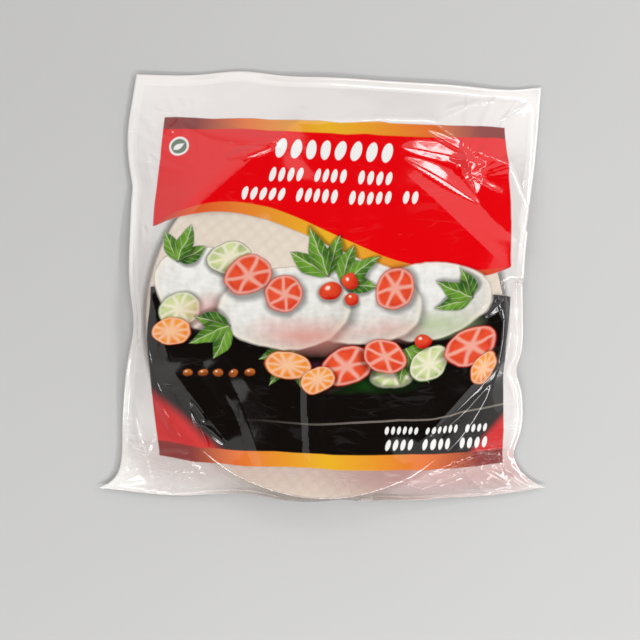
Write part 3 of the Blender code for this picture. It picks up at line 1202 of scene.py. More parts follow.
class Shared:
    """The shader groups that more than one place uses. Each is built once."""

    def __init__(self) -> None:
        """Builds every group."""
        self.round = self.shape_group("Round Spot", self.round_shape)
        self.sheet = self.shape_group("Round Sheet", self.sheet_shape)
        self.leaf = self.shape_group("Leaf", self.leaf_shape)
        self.slice = self.shape_group("Fruit Slice", self.slice_shape)
        self.grains = self.shape_group("Row Of Grains", self.grains_shape)
        self.crinkle = self.crinkle_group()

    def new_group(self, name: str, inputs: dict[str, str], outputs: dict[str, str]) -> tuple:
        """Starts a group.

        Args:
            name: The group's name.
            inputs: Input names and their kinds.
            outputs: Output names and their kinds.

        Returns:
            The tree, a desk for it, its input node and its output node.
        """
        tree = bpy.data.node_groups.new(name, "ShaderNodeTree")
        for socket, kind in inputs.items():
            tree.interface.new_socket(socket, in_out="INPUT", socket_type=f"NodeSocket{kind}")
        for socket, kind in outputs.items():
            tree.interface.new_socket(socket, in_out="OUTPUT", socket_type=f"NodeSocket{kind}")
        desk = NodeDesk(tree)
        return tree, desk, desk.add("NodeGroupInput"), desk.add("NodeGroupOutput")

    def shape_group(self, name: str, draw: Callable[..., Drawn]) -> bpy.types.NodeTree:
        """Makes a group that draws one flat shape.

        Args:
            name: The group's name.
            draw: Takes the desk, the two local coordinates from -1 to 1 and the group's inputs, and
                gives how far inside the edge a place is, the shade and the gleam.

        Returns:
            The group, with outputs Mask, Shade, Gleam and Shadow.
        """
        inputs = {"Place": "Vector"} | dict.fromkeys(SHAPE_INPUTS, "Float")
        outputs = dict.fromkeys(("Mask", "Shade", "Gleam", "Shadow"), "Float")
        tree, desk, source, sink = self.new_group(name, inputs, outputs)
        given = source.outputs
        centre = desk.add("ShaderNodeCombineXYZ", given["X"], given["Y"]).outputs[0]
        turned = desk.add("ShaderNodeVectorRotate", rotation_type="Z_AXIS", invert=True)
        desk.feed(turned.inputs["Vector"], desk.vector("SUBTRACT", given["Place"], centre))
        desk.feed(turned.inputs["Angle"], desk.math("RADIANS", given["Turn"]))
        parts = desk.parts(turned.outputs[0])
        across = desk.ratio(parts[0], desk.times(given["Width"], 0.5))
        up = desk.ratio(parts[1], desk.times(given["Height"], 0.5))
        inside, shade, gleam = draw(desk, across, up, given)
        desk.feed(sink.inputs["Mask"], desk.least(desk.greatest(desk.ratio(inside, given["Soft"]), 0.0), 1.0))
        desk.feed(sink.inputs["Shade"], shade)
        desk.feed(sink.inputs["Gleam"], gleam)
        fallen = desk.minus(inside, desk.times(up, 0.5, given["Halo"]))
        past = desk.ratio(fallen, desk.greatest(given["Halo"], 0.001))
        desk.feed(sink.inputs["Shadow"], desk.between(past, -1.0, 0.3))
        return tree

    def round_shape(self, desk: NodeDesk, across: Socket, up: Socket, _: object) -> Drawn:
        """A round or oval body, lit from its upper left."""
        reach = desk.distance(across, up)
        slope = desk.minus(desk.times(across, 0.3), desk.times(up, 0.4))
        curve = desk.times(desk.math("POWER", reach, 3.0), 0.45)
        return desk.minus(1.0, reach), desk.plus(slope, 0.3, curve), self.glint(desk, across, up)

    def sheet_shape(self, desk: NodeDesk, across: Socket, up: Socket, _: object) -> Drawn:
        """A thin round sheet with a bright rim and a faint woven ground."""
        reach = desk.distance(across, up)
        slope = desk.minus(desk.times(across, 0.2), desk.times(up, 0.34))
        lines = (desk.plus(across, up), desk.minus(across, up))
        strips = [desk.math("SINE", desk.times(line, 24.0)) for line in lines]
        edge = desk.times(desk.between(reach, 0.55, 1.0), 0.28)
        shade = desk.plus(slope, 0.30, desk.times(*strips, 0.07), edge)
        rim = desk.times(desk.between(reach, 0.84, 0.95), desk.between(reach, 1.0, 0.95))
        return desk.minus(1.0, reach), shade, rim

    def leaf_shape(self, desk: NodeDesk, across: Socket, up: Socket, _: object) -> Drawn:
        """A pointed leaf, broad near its stem, with one half in shade, a light midrib and side veins."""
        half = desk.greatest(desk.minus(1.0, desk.times(across, across)), 0.0)
        half = desk.times(half, desk.minus(0.92, desk.times(across, 0.34)))
        height = desk.size_of(up)
        vein_run = desk.plus(desk.times(across, 15.0), desk.times(height, -10.0))
        vein = desk.between(desk.math("SINE", vein_run), 0.72, 0.98)
        shade = desk.plus(desk.times(desk.between(up, 0.05, -0.12), 0.36), 0.22, desk.times(height, 0.32))
        gleam = desk.greatest(desk.between(height, 0.08, 0.02), desk.times(vein, 0.4))
        past_tip = desk.greatest(desk.minus(desk.size_of(across), 1.0), 0.0)
        beside = desk.plus(height, desk.times(past_tip, 3.0))
        return desk.minus(half, beside), shade, gleam

    def slice_shape(self, desk: NodeDesk, across: Socket, up: Socket, given: object) -> Drawn:
        """A round slice with a dark rind, pale pith and wedges of flesh round its middle."""
        reach = desk.distance(across, up)
        angle = desk.math("ARCTAN2", up, across)
        spokes = desk.size_of(desk.math("SINE", desk.times(angle, given["Count"])))
        skin = desk.times(desk.ratio(0.07, desk.greatest(reach, 0.07)), given["Count"])
        wedge = desk.between(desk.ratio(spokes, desk.greatest(skin, 0.05)), 0.2, 1.9)
        wedge = desk.times(wedge, desk.between(reach, 0.90, 0.74), desk.between(reach, 0.05, 0.30))
        rind = desk.between(reach, 0.86, 0.97)
        depth = desk.times(reach, reach, 0.45)
        shade = desk.greatest(rind, desk.minus(depth, desk.times(up, 0.12)))
        pale = desk.times(desk.minus(1.0, wedge), desk.minus(1.0, rind))
        return desk.minus(1.0, reach), shade, pale

    def grains_shape(self, desk: NodeDesk, across: Socket, up: Socket, given: object) -> Drawn:
        """A row of rice grains that lean a little, with a gap after every few."""
        lean = desk.times(up, desk.ratio(given["Height"], given["Width"]))
        leaning = desk.minus(across, desk.times(lean, 0.22))
        step = desk.times(desk.plus(leaning, 1.0), desk.times(given["Count"], 0.5))
        cell = desk.times(desk.minus(desk.math("FRACT", step), 0.5), 2.75)
        in_row = desk.math("LESS_THAN", desk.size_of(leaning), 1.0)
        number = desk.plus(desk.math("FLOOR", step), 1.0)
        kept = desk.math("GREATER_THAN", desk.math("FLOORED_MODULO", number, given["Word"]), 0.5)
        left_out = desk.minus(desk.times(in_row, kept), 1.0)
        inside = desk.plus(desk.minus(1.0, desk.distance(cell, up)), desk.times(left_out, 9.0))
        return inside, desk.minus(0.5, desk.times(up, 0.5)), self.glint(desk, cell, up)

    def glint(self, desk: NodeDesk, across: Socket, up: Socket) -> Socket:
        """The small highlight at a round body's upper left."""
        return desk.between(desk.distance(desk.plus(across, 0.3), desk.minus(up, 0.36)), 0.30, 0.08)

    def crinkle_group(self) -> bpy.types.NodeTree:
        """Fine creases, waves and scratches that film carries, as a height and a mask of scratches and
        painted highlight lines along the creases.
        """
        tree, desk, source, sink = self.new_group(
            "Film Crinkle",
            {"Place": "Vector", "Crease Size": "Float", "Crumple": "Float"},
            {"Height": "Float", "Scuffs And Glints": "Float"},
        )
        place, crumpled = source.outputs["Place"], source.outputs["Crumple"]
        scale = desk.ratio(1.0, source.outputs["Crease Size"])
        creases = []
        for turn, stretch in ((28, 0.14), (-47, 0.2)):
            waves = desk.noise(desk.mapped(place, turn, (stretch, 1.0, 1.0)), scale, 1.0)
            creases.append(desk.between(desk.size_of(desk.minus(waves, 0.5)), 0.020, 0.0))
        patch = desk.between(desk.noise(place, 34.0), 0.48, 0.62)
        crease = desk.times(desk.greatest(*creases), patch, desk.plus(crumpled, 0.04))
        height = desk.plus(desk.times(crease, 0.9), desk.noise(place, 60.0, 3.0))
        scratches = desk.noise(desk.mapped(place, 38, (50.0, 900.0, 1.0)), 1.0, 1.0)
        worn = desk.between(desk.noise(place, 40.0), 0.52, 0.66)
        # Real scratch wear; the painted highlight lines along the creases are added to it below.
        scuffs_and_glints = desk.times(desk.between(scratches, 0.72, 0.80), worn)
        desk.feed(sink.inputs["Height"], height)
        # Scratch wear plus painted highlight lines along the creases, which stand in for their glints.
        desk.feed(sink.inputs["Scuffs And Glints"], desk.plus(desk.times(scuffs_and_glints, 0.5), desk.times(crease, 0.8)))
        return tree


# ---------------------------------------------------------------------------------------------
# The printed front
# ---------------------------------------------------------------------------------------------


class MotifKind(Enum):
    """The flat shapes that the printed picture is made of."""

    ROUND = "round"
    SHEET = "sheet"
    LEAF = "leaf"
    SLICE = "slice"
    GRAINS = "grains"


@dataclass(frozen=True)
class Motif:
    """One flat shape of the print, in millimetres from the print's middle."""

    kind: MotifKind
    x: float
    y: float
    width: float
    height: float
    light: Colour
    dark: Colour
    turn: float = 0.0
    soft: float = 0.08
    count: float = 4.0
    strength: float = 1.0
    word: float = 100.0
    halo: float = 0.0
    gleam: float = 0.0

    def touches(self, left: float, right: float) -> bool:
        """Whether any of it, or of its shadow, may lie between two places across the print."""
        reach = 0.65 * max(self.width, self.height) + 6.0
        return self.x + reach > left and self.x - reach < right


RED = linear(221, 1, 9)
DEEP_RED = linear(200, 24, 26)
MAROON = linear(129, 37, 32)
DEEP_ORANGE = linear(219, 110, 47)
GOLD = linear(225, 171, 39)
BLACK = linear(13, 8, 6)
WHITE = linear(232, 231, 228)
SHEET_LIGHT = linear(234, 233, 229)
SHEET_DARK = linear(193, 191, 181)
ROSE = linear(211, 140, 129)
LEAF_LIGHT = linear(116, 165, 52)
LEAF_DARK = linear(24, 75, 22)
LEAF_PALE = linear(170, 187, 140)
TOMATO = linear(183, 19, 13)
TOMATO_LIGHT = linear(224, 79, 45)
CARROT = linear(209, 90, 13)
CARROT_LIGHT = linear(234, 148, 54)
CUCUMBER = linear(43, 97, 32)
CUCUMBER_LIGHT = linear(200, 211, 150)
PLUM = linear(98, 34, 66)
AMBER = linear(200, 112, 47)
AMBER_DARK = linear(96, 36, 12)
SHADOW = linear(8, 6, 5)
ARC = linear(150, 140, 130)
GLEAM = linear(238, 228, 211)


def sprig(x: float, y: float, turn: float, size: float) -> tuple[Motif, ...]:
    """Three leaves on one stem: a middle one and one to each side."""
    leaves = []
    for angle, length in ((-38, 0.82), (40, 0.86), (0, 1.0)):
        bearing = math.radians(turn + angle)
        reach = size * length / 2
        place = (x + reach * math.cos(bearing), y + reach * math.sin(bearing))
        look = (size * length, size * 0.44, LEAF_LIGHT, LEAF_DARK, turn + angle, 0.16)
        leaves.append(Motif(MotifKind.LEAF, *place, *look, halo=0.35, gleam=0.4))
    return tuple(leaves)


def paper_round(x: float, y: float, width: float, height: float, turn: float = 0.0) -> Motif:
    """A pale round sheet."""
    colours = (SHEET_LIGHT, SHEET_DARK)
    return Motif(MotifKind.SHEET, x, y, width, height, *colours, turn, 0.05, halo=0.14, gleam=0.5)


def tint(x: float, y: float, width: float, height: float, colour: Colour, strength: float) -> Motif:
    """A soft patch of colour, as of food under a thin sheet."""
    return Motif(MotifKind.ROUND, x, y, width, height, colour, colour, 0.0, 0.9, strength=strength)


@dataclass(frozen=True)
class Slices:
    """Slices of one kind of vegetable."""

    colours: tuple[Colour, Colour]
    wedges: float
    halo: float
    gleam: float
    soft: float = 0.10

    def __call__(
        self, x: float, y: float, width: float, height: float, turn: float, soft: float = 0.0
    ) -> Motif:
        """One slice, with an edge as soft as its kind's unless a softness is given."""
        form = (MotifKind.SLICE, x, y, width, height, *self.colours, turn, soft or self.soft, self.wedges)
        return Motif(*form, halo=self.halo, gleam=self.gleam)


tomato = Slices((TOMATO_LIGHT, TOMATO), 3.0, 0.26, 0.4, 0.09)
carrot = Slices((CARROT_LIGHT, CARROT), 5.0, 0.22, 0.4)
cucumber = Slices((CUCUMBER_LIGHT, CUCUMBER), 4.0, 0.22, 0.7)


def berry(x: float, y: float, size: float) -> Motif:
    """A round glossy berry."""
    colours = (TOMATO_LIGHT, TOMATO)
    return Motif(MotifKind.ROUND, x, y, size, size * 0.94, *colours, 0.0, 0.12, halo=0.35, gleam=0.85)


PICTURE = (
    tint(24, -52, 70, 16, LEAF_DARK, 0.8),
    tint(-4, -48, 44, 20, PLUM, 0.8),
    cucumber(40, -46, 30, 20, 15, 0.35),
    paper_round(54, -3, 84, 46, 7),
    paper_round(-66, 0, 78, 52, -8),
    tint(62, -16, 62, 20, LEAF_PALE, 0.75),
    cucumber(-88, -12, 27, 22, 30, 0.16),
    *sprig(-90, 15, 72, 25),
    paper_round(14, -4, 84, 52, -6),
    tint(-60, -14, 62, 28, ROSE, 0.85),
    tint(34, -20, 54, 18, ROSE, 0.45),
    *sprig(46, -30, 302, 27),
    *sprig(-20, -33, 238, 27),
    paper_round(-26, -9, 80, 50, 6),
    tint(-14, -24, 78, 26, ROSE, 0.8),
    tint(-40, 4, 40, 18, LEAF_PALE, 0.45),
    tomato(12, -42, 33, 24, 8),
    tomato(34, -36, 28, 20, -20),
    carrot(-24, -43, 28, 18, 0),
    carrot(-6, -50, 24, 15, 25),
    cucumber(60, -40, 27, 20, 50),
    *sprig(-2, 12, 112, 31),
    *sprig(6, 8, 34, 28),
    *sprig(84, -2, 152, 25),
    *sprig(-58, -21, 205, 27),
    cucumber(-60, 20, 26, 19, 20),
    tomato(-48, 10, 30, 25, 12),
    tomato(-27, 0, 26, 21, 40),
    tomato(38, 5, 27, 22, 70),
    tomato(84, -31, 33, 25, 20),
    carrot(92, -45, 22, 15, 55),
    carrot(-92, -26, 24, 17, 15),
    berry(0, 3, 13),
    berry(11, 9, 10.5),
    berry(13, -2, 9),
    berry(56, -26, 9),
    Motif(MotifKind.GRAINS, -64, -50, 46, 5.6, AMBER, AMBER_DARK, 4, 0.25, 5.0, gleam=0.8),
)

HEADING = (
    Motif(MotifKind.GRAINS, 0.6, 86.5, 74.6, 12.0, WHITE, WHITE, 0, 0.10, 8.0),
    Motif(MotifKind.GRAINS, -1.0, 71.3, 76.0, 8.8, WHITE, WHITE, 0, 0.14, 14.0, word=5.0),
    Motif(MotifKind.GRAINS, -1.0, 58.9, 106.0, 8.8, WHITE, WHITE, 0, 0.14, 20.0, word=6.0),
    Motif(MotifKind.ROUND, -94.6, 85.9, 13.0, 13.0, WHITE, WHITE, 0, 0.10),
    Motif(MotifKind.ROUND, -94.6, 85.9, 10.4, 10.4, LEAF_DARK, LEAF_DARK, 0, 0.12, strength=0.85),
    Motif(MotifKind.LEAF, -94.6, 85.9, 8.6, 4.4, WHITE, WHITE, 35, 0.25),
)

FOOT = (
    Motif(MotifKind.GRAINS, 64.2, -80.5, 64.0, 5.2, WHITE, WHITE, 0, 0.25, 18.0, word=7.0),
    Motif(MotifKind.GRAINS, 64.2, -89.0, 64.0, 7.0, WHITE, WHITE, 0, 0.20, 14.0, word=5.0),
)

THIRD = PrintPlace.width / 3
PICTURE_ZONES = {
    Zone.PICTURE_LEFT: (-1.5 * THIRD, -0.5 * THIRD),
    Zone.PICTURE_MIDDLE: (-0.5 * THIRD, 0.5 * THIRD),
    Zone.PICTURE_RIGHT: (0.5 * THIRD, 1.5 * THIRD),
}
MOTIFS = {Zone.HEADING: HEADING, Zone.FOOT: FOOT} | {
    zone: tuple(motif for motif in PICTURE if motif.touches(*sides))
    for zone, sides in PICTURE_ZONES.items()
}

# Shares of the print's length from its near edge. The red ends at the wave, a band of gold follows
# it, and the black starts at its own bowed edge. A thin strip lies along the near and far edges.
WAVE_EDGE = ((0.0, 0.678), (0.094, 0.728), (0.206, 0.755), (0.30, 0.748), (0.398, 0.722), (0.49, 0.682))
WAVE_EDGE += ((0.60, 0.636), (0.693, 0.600), (0.808, 0.577), (0.91, 0.577), (1.0, 0.588))
BAND_WIDTH = 0.040
BLACK_TOP = 0.498
BLACK_RISE = 0.032
FAR_STRIP = 0.965
NEAR_STRIP = 0.045
EDGE_SOFTNESS = 0.002
BAND_COLOURS = ((0.0, DEEP_RED), (0.20, DEEP_ORANGE), (0.49, GOLD), (0.80, DEEP_ORANGE), (1.0, DEEP_RED))
STRIP_COLOURS = ((0.0, MAROON), (0.10, MAROON), (0.24, DEEP_ORANGE))
STRIP_COLOURS += ((0.49, GOLD), (0.77, DEEP_ORANGE), (0.93, MAROON))
# How far each fade reaches across and up, and which side of the print it starts from.
CORNER_FADES = ((0.20, 0.165, 0.0), (-0.11, 0.11, 1.0))


@dataclass
class PrintedFields:
    """The print's red, gold and black fields, as a shared group: their colour and their cover."""

    desk: NodeDesk
    across: Socket
    up: Socket

    def draw(self) -> tuple[Socket, Socket]:
        """Draws the fields, with the clear window between the red and the black."""
        desk, across = self.desk, self.across
        middle = desk.times(across, desk.minus(1.0, across), 4.0)
        wave = desk.curve(across, WAVE_EDGE)
        band = desk.times(desk.math("POWER", desk.greatest(middle, 0.0), 0.6), BAND_WIDTH)
        in_black = self.below(desk.plus(desk.times(middle, BLACK_RISE), BLACK_TOP))
        colour = desk.over(self.below(wave), RED, desk.ramp(across, BAND_COLOURS))
        colour = desk.over(in_black, colour, BLACK)
        colour = self.arc(self.corner_fades(colour))
        strip = desk.ramp(across, STRIP_COLOURS)
        colour = desk.over(desk.minus(1.0, self.below(FAR_STRIP)), colour, strip)
        colour = desk.over(self.below(NEAR_STRIP), colour, strip)
        window = desk.times(self.below(desk.minus(wave, band)), desk.minus(1.0, in_black))
        return colour, desk.minus(1.0, window)

    def below(self, edge: object) -> Socket:
        """1 nearer than an edge that runs across the print, 0 farther than it."""
        return self.desk.between(self.desk.minus(self.up, edge), EDGE_SOFTNESS, -EDGE_SOFTNESS)

    def corner_fades(self, colour: Socket) -> Socket:
        """Red that fades into the black from both near corners."""
        desk = self.desk
        for reach, rise, start in CORNER_FADES:
            share = desk.ratio(desk.minus(self.across, start), reach)
            line = desk.plus(share, desk.ratio(desk.minus(self.up, NEAR_STRIP), rise))
            colour = desk.over(desk.between(line, 1.06, 0.72), colour, DEEP_RED)
        return colour

    def arc(self, colour: Socket) -> Socket:
        """A thin pale arc over the black."""
        desk = self.desk
        past = desk.minus(self.across, 0.42)
        line = desk.plus(desk.times(past, past, 0.13), 0.132)
        off = desk.size_of(desk.minus(self.up, line))
        mask = desk.times(desk.between(off, 0.004, 0.0015), desk.between(self.across, 0.2, 0.7))
        return desk.over(desk.times(mask, 0.55), colour, ARC)


def printed_fields_group(shared: Shared) -> bpy.types.NodeTree:
    """Makes the group of the print's fields from a place on the print."""
    tree, desk, source, sink = shared.new_group(
        "Printed Fields", {"Across": "Float", "Up": "Float"}, {"Colour": "Color", "Cover": "Float"}
    )
    colour, cover = PrintedFields(desk, source.outputs["Across"], source.outputs["Up"]).draw()
    desk.feed(sink.inputs["Colour"], colour)
    desk.feed(sink.inputs["Cover"], cover)
    return tree


@dataclass
class ZonePrint:
    """Draws one zone of the front print: the fields there and the shapes that lie on them."""

    desk: NodeDesk
    shared: Shared
    fields: bpy.types.NodeTree
    where: PrintPlace = PrintPlace()

    def draw(self, zone: Zone) -> tuple[Socket, Socket, Socket]:
        """Draws the zone, with the shapes that lie in it over its fields.

        Args:
            zone: The zone.

        Returns:
            Its colour, its cover from 0, clear film, to 1, full print, and whether a place lies
            inside the print's cut edges.
        """
        desk = self.desk
        across, up, _ = desk.parts(desk.attribute("on_print").outputs["Vector"])
        inside = desk.times(self.inside_edges(across), self.inside_edges(up))
        if zone is Zone.MARGIN:
            return WHITE, 0.0, inside
        fields = desk.group(self.fields, Across=across, Up=up)
        colour, cover = fields.outputs["Colour"], fields.outputs["Cover"]
        x = desk.times(desk.minus(across, 0.5), self.where.width)
        y = desk.times(desk.minus(up, 0.5), self.where.length)
        place = desk.add("ShaderNodeCombineXYZ", x, y).outputs[0]
        cloud = desk.times(desk.minus(desk.noise(place, 0.16, 6.0), 0.5), 1.3)
        if zone in PICTURE_ZONES:
            place = self.wobbled(place)
        for motif in MOTIFS[zone]:
            colour, cover = self.lay(motif, place, cloud, colour, cover)
        return colour, desk.times(cover, inside), inside

    def wobbled(self, place: Socket) -> Socket:
        """Shifts places a few millimetres either way, so that outlines aren't perfectly round."""
        wobble = self.desk.add("ShaderNodeTexNoise", place)
        wobble.inputs["Scale"].default_value = 0.05
        shift = self.desk.vector("SUBTRACT", wobble.outputs["Color"], (0.5, 0.5, 0.0))
        return self.desk.vector("ADD", place, self.desk.vector("MULTIPLY", shift, (6.0, 6.0, 0.0)))

    def inside_edges(self, share: Socket) -> Socket:
        """1 between the print's two cut edges, 0 beyond them."""
        low = self.desk.between(share, -EDGE_SOFTNESS, EDGE_SOFTNESS)
        return self.desk.times(low, self.desk.between(share, 1 + EDGE_SOFTNESS, 1 - EDGE_SOFTNESS))

    def lay(
        self, motif: Motif, place: Socket, cloud: Socket, colour: Socket, cover: Socket
    ) -> tuple[Socket, Socket]:
        """Lays one shape and its shadow over the print so far.

        Args:
            motif: The shape.
            place: The place on the print, in millimetres from its middle.
            cloud: What varies the shape's shade from place to place.
            colour: The print's colour so far.
            cover: The print's cover so far.

        Returns:
            The colour and the cover with the shape.
        """
        desk = self.desk
        given = {name: getattr(motif, name.lower()) for name in SHAPE_INPUTS}
        shape = desk.group(getattr(self.shared, motif.kind.value), Place=place, **given)
        paint = motif.light
        if motif.dark != motif.light:
            paint = desk.over(desk.plus(shape.outputs["Shade"], cloud), motif.light, motif.dark)
        if motif.gleam:
            paint = desk.over(desk.times(shape.outputs["Gleam"], motif.gleam), paint, GLEAM)
        if motif.halo:
            colour = desk.over(desk.times(shape.outputs["Shadow"], 0.6), colour, SHADOW)
        mask = shape.outputs["Mask"]
        if motif.strength < 1:
            mask = desk.times(mask, motif.strength)
        return desk.over(mask, colour, paint), desk.greatest(cover, mask)


# ---------------------------------------------------------------------------------------------
# Finishes
# ---------------------------------------------------------------------------------------------


def new_material(name: str) -> tuple[bpy.types.Material, NodeDesk, bpy.types.Node]:
    """Starts a material and returns it with a desk for its nodes and its shader."""
    material = bpy.data.materials.new(name)
    material.use_nodes = True
    desk = NodeDesk(material.node_tree)
    return material, desk, material.node_tree.nodes["Principled BSDF"]


def flat_place(desk: NodeDesk) -> Socket:
    """The place on the film before it was bent, in metres."""
    return desk.attribute("flat_place").outputs["Vector"]


WELD_BAND = (7.2 * MM, 6.4 * MM)  # how far in from the cut edges the weld begins and is whole


def weld_mask(desk: NodeDesk, place: Socket) -> Socket:
    """1 on the welded band along the cut edges."""
    low, high = CAD_BOX
    across, up, _ = desk.parts(place)
    far = (desk.minus(high.x - low.x, across), desk.minus(high.y - low.y, up))
    return desk.between(desk.least(across, up, *far), *WELD_BAND)


@dataclass(frozen=True)
class FrontFilmFinish:
    """Clear glossy film with the print on it."""

    milk: Colour = linear(248, 247, 244)
    clear_cover: float = 0.17
    near_cover: float = 0.30
    margin_cover: float = 0.76
    weld_cover: float = 0.08
    scuffs_and_glints_cover: float = 0.6
    print_gloss_index: float = 1.80
    clear_gloss_index: float = 2.1
    far_gloss: float = 0.4
    dull_gloss: float = 0.6
    roughness: float = 0.10
    crease_size: float = 9 * MM
    bump_strength: float = 0.3
    bump_distance: float = 0.5 * MM
    # Colour, strength and reach of the painted pink reflection and shade of the print on the film beside it.
    painted_reflection_and_shade: Colour = linear(178, 106, 102)
    reflection_left: float = 0.22
    reflection_right: float = 0.72
    reflection_side: float = 0.10
    reflection_reach: float = 0.15
    margin_crumple: float = 0.25

    def painted_print_reflection_share(self, desk: NodeDesk, across: Socket, up: Socket) -> Socket:
        """The painted pink reflection and shade that the print throws on the film beside it, strongest at its
        near right.
        """
        aside = desk.minus(desk.size_of(desk.minus(across, 0.5)), 0.5)
        side = desk.between(aside, self.reflection_reach, 0.0)
        near = desk.least(desk.between(up, -self.reflection_reach, 0.0), desk.between(up, 0.12, 0.0))
        near = desk.times(near, desk.blend(desk.between(across, 0.4, 0.8), self.reflection_left, self.reflection_right))
        return desk.times(side, desk.greatest(near, self.reflection_side))

    def beside_stack(self, desk: NodeDesk) -> Socket:
        """0 over the stack, where clear film lies close on the sheets, and 1 beside it."""
        stack = StackPlace()
        offset = desk.vector("SUBTRACT", desk.object_place(), (stack.x, stack.y, 0.0))
        level = desk.vector("MULTIPLY", offset, (1.0, 1.0, 0.0))
        reach = desk.add("ShaderNodeVectorMath", level, operation="LENGTH").outputs["Value"]
        return desk.between(reach, stack.radius - 1 * MM, stack.radius + 4 * MM)

    def clear_film(self, desk: NodeDesk, up: Socket) -> Socket:
        """How much the clear film hides: little over the stack, and more in the farther margins, where the
        extra milky cover also paints out the shade that falls under the film.
        """
        margin = desk.blend(desk.between(up, -0.04, 0.12), self.near_cover, self.margin_cover)
        return desk.blend(self.beside_stack(desk), self.clear_cover, margin)

    def gloss(self, desk: NodeDesk, across: Socket, up: Socket, dulled: Socket) -> Socket:
        """How glossy the clear film is: less beyond the print's far edge and at its near right."""
        far = desk.blend(desk.between(up, 0.9, 1.02), 1.0, self.far_gloss)
        near_right = desk.times(desk.between(up, 0.1, -0.02), desk.between(across, 0.5, 0.75))
        return desk.times(desk.minus(1.0, dulled), far, desk.blend(near_right, 1.0, self.dull_gloss))

    def build(self, shared: Shared, fields: bpy.types.NodeTree, zone: Zone) -> bpy.types.Material:
        """Makes one zone's material.

        Args:
            shared: The shared shader groups.
            fields: The group of the print's fields.
            zone: Which part of the film the material is for.

        Returns:
            The material.
        """
        material, desk, shader = new_material(f"front_film_{zone.name.lower()}")
        place = flat_place(desk)
        across, up, crumpled = desk.parts(desk.attribute("on_print").outputs["Vector"])
        colour, cover, inside = ZonePrint(desk, shared, fields).draw(zone)
        outside = desk.minus(1.0, inside)
        loose = desk.times(outside, desk.between(up, 0.55, 0.0))
        crumpled = desk.plus(crumpled, desk.times(loose, self.margin_crumple))
        crinkle = desk.group(shared.crinkle, Place=place, Crease_Size=self.crease_size, Crumple=crumpled)
        # Scuffs, and painted highlight lines along the creases.
        scuffs_and_glints = crinkle.outputs["Scuffs And Glints"]
        # Painted pink reflection and shade of the print, on the film beside it only.
        painted_reflection_and_shade = desk.times(self.painted_print_reflection_share(desk, across, up), outside)
        alpha = desk.plus(desk.times(scuffs_and_glints, self.scuffs_and_glints_cover), self.clear_film(desk, up), painted_reflection_and_shade)
        painted = desk.over(desk.ratio(painted_reflection_and_shade, alpha), desk.over(scuffs_and_glints, self.milk, WHITE), self.painted_reflection_and_shade)
        if zone is Zone.MARGIN:
            alpha = desk.plus(alpha, desk.times(weld_mask(desk, place), self.weld_cover))
        else:
            alpha = desk.greatest(alpha, cover)
            painted = desk.over(cover, painted, colour)
            # Painted white highlight lines along the creases, and scuffs, laid over the print.
            painted = desk.over(desk.times(scuffs_and_glints, 0.35), painted, WHITE)
        cloud = desk.times(desk.noise(place, 35.0, 3.0), 0.06)
        desk.feed(shader.inputs["Alpha"], desk.least(alpha, 1.0))
        desk.feed(shader.inputs["Base Color"], painted)
        desk.feed(shader.inputs["Coat Weight"], self.gloss(desk, across, up, desk.greatest(scuffs_and_glints, cover)))
        desk.feed(shader.inputs["Roughness"], desk.plus(cloud, self.roughness - 0.03))
        desk.feed(shader.inputs["IOR"], self.print_gloss_index)
        desk.feed(shader.inputs["Coat IOR"], self.clear_gloss_index)
        desk.feed(shader.inputs["Coat Roughness"], self.roughness)
        desk.bump(shader, crinkle.outputs["Height"], self.bump_strength, self.bump_distance)
        return material


@dataclass(frozen=True)
class BackFilmFinish:
    """Milky film of the pouch's back."""

    milk: Colour = linear(248, 247, 244)
    cover: float = 0.95
    weld_cover: float = 0.98
    roughness: float = 0.2
    crease_size: float = 14 * MM
    crumple: float = 0.4
    bump_strength: float = 0.35
    bump_distance: float = 0.5 * MM

    def build(self, shared: Shared) -> bpy.types.Material:
        """Makes the material."""
        material, desk, shader = new_material("back_film")
        place = flat_place(desk)
        crinkle = desk.group(
            shared.crinkle, Place=place, Crease_Size=self.crease_size, Crumple=self.crumple
        )
        alpha = desk.blend(weld_mask(desk, place), self.cover, self.weld_cover)
        desk.feed(shader.inputs["Alpha"], alpha)
        # White along scratches, and painted highlight lines along the creases.
        desk.feed(shader.inputs["Base Color"], desk.over(crinkle.outputs["Scuffs And Glints"], self.milk, WHITE))
        cloud = desk.noise(place, 50.0, 3.0)
        desk.feed(shader.inputs["Roughness"], desk.plus(desk.times(cloud, 0.1), self.roughness))
        desk.bump(shader, crinkle.outputs["Height"], self.bump_strength, self.bump_distance)
        return material


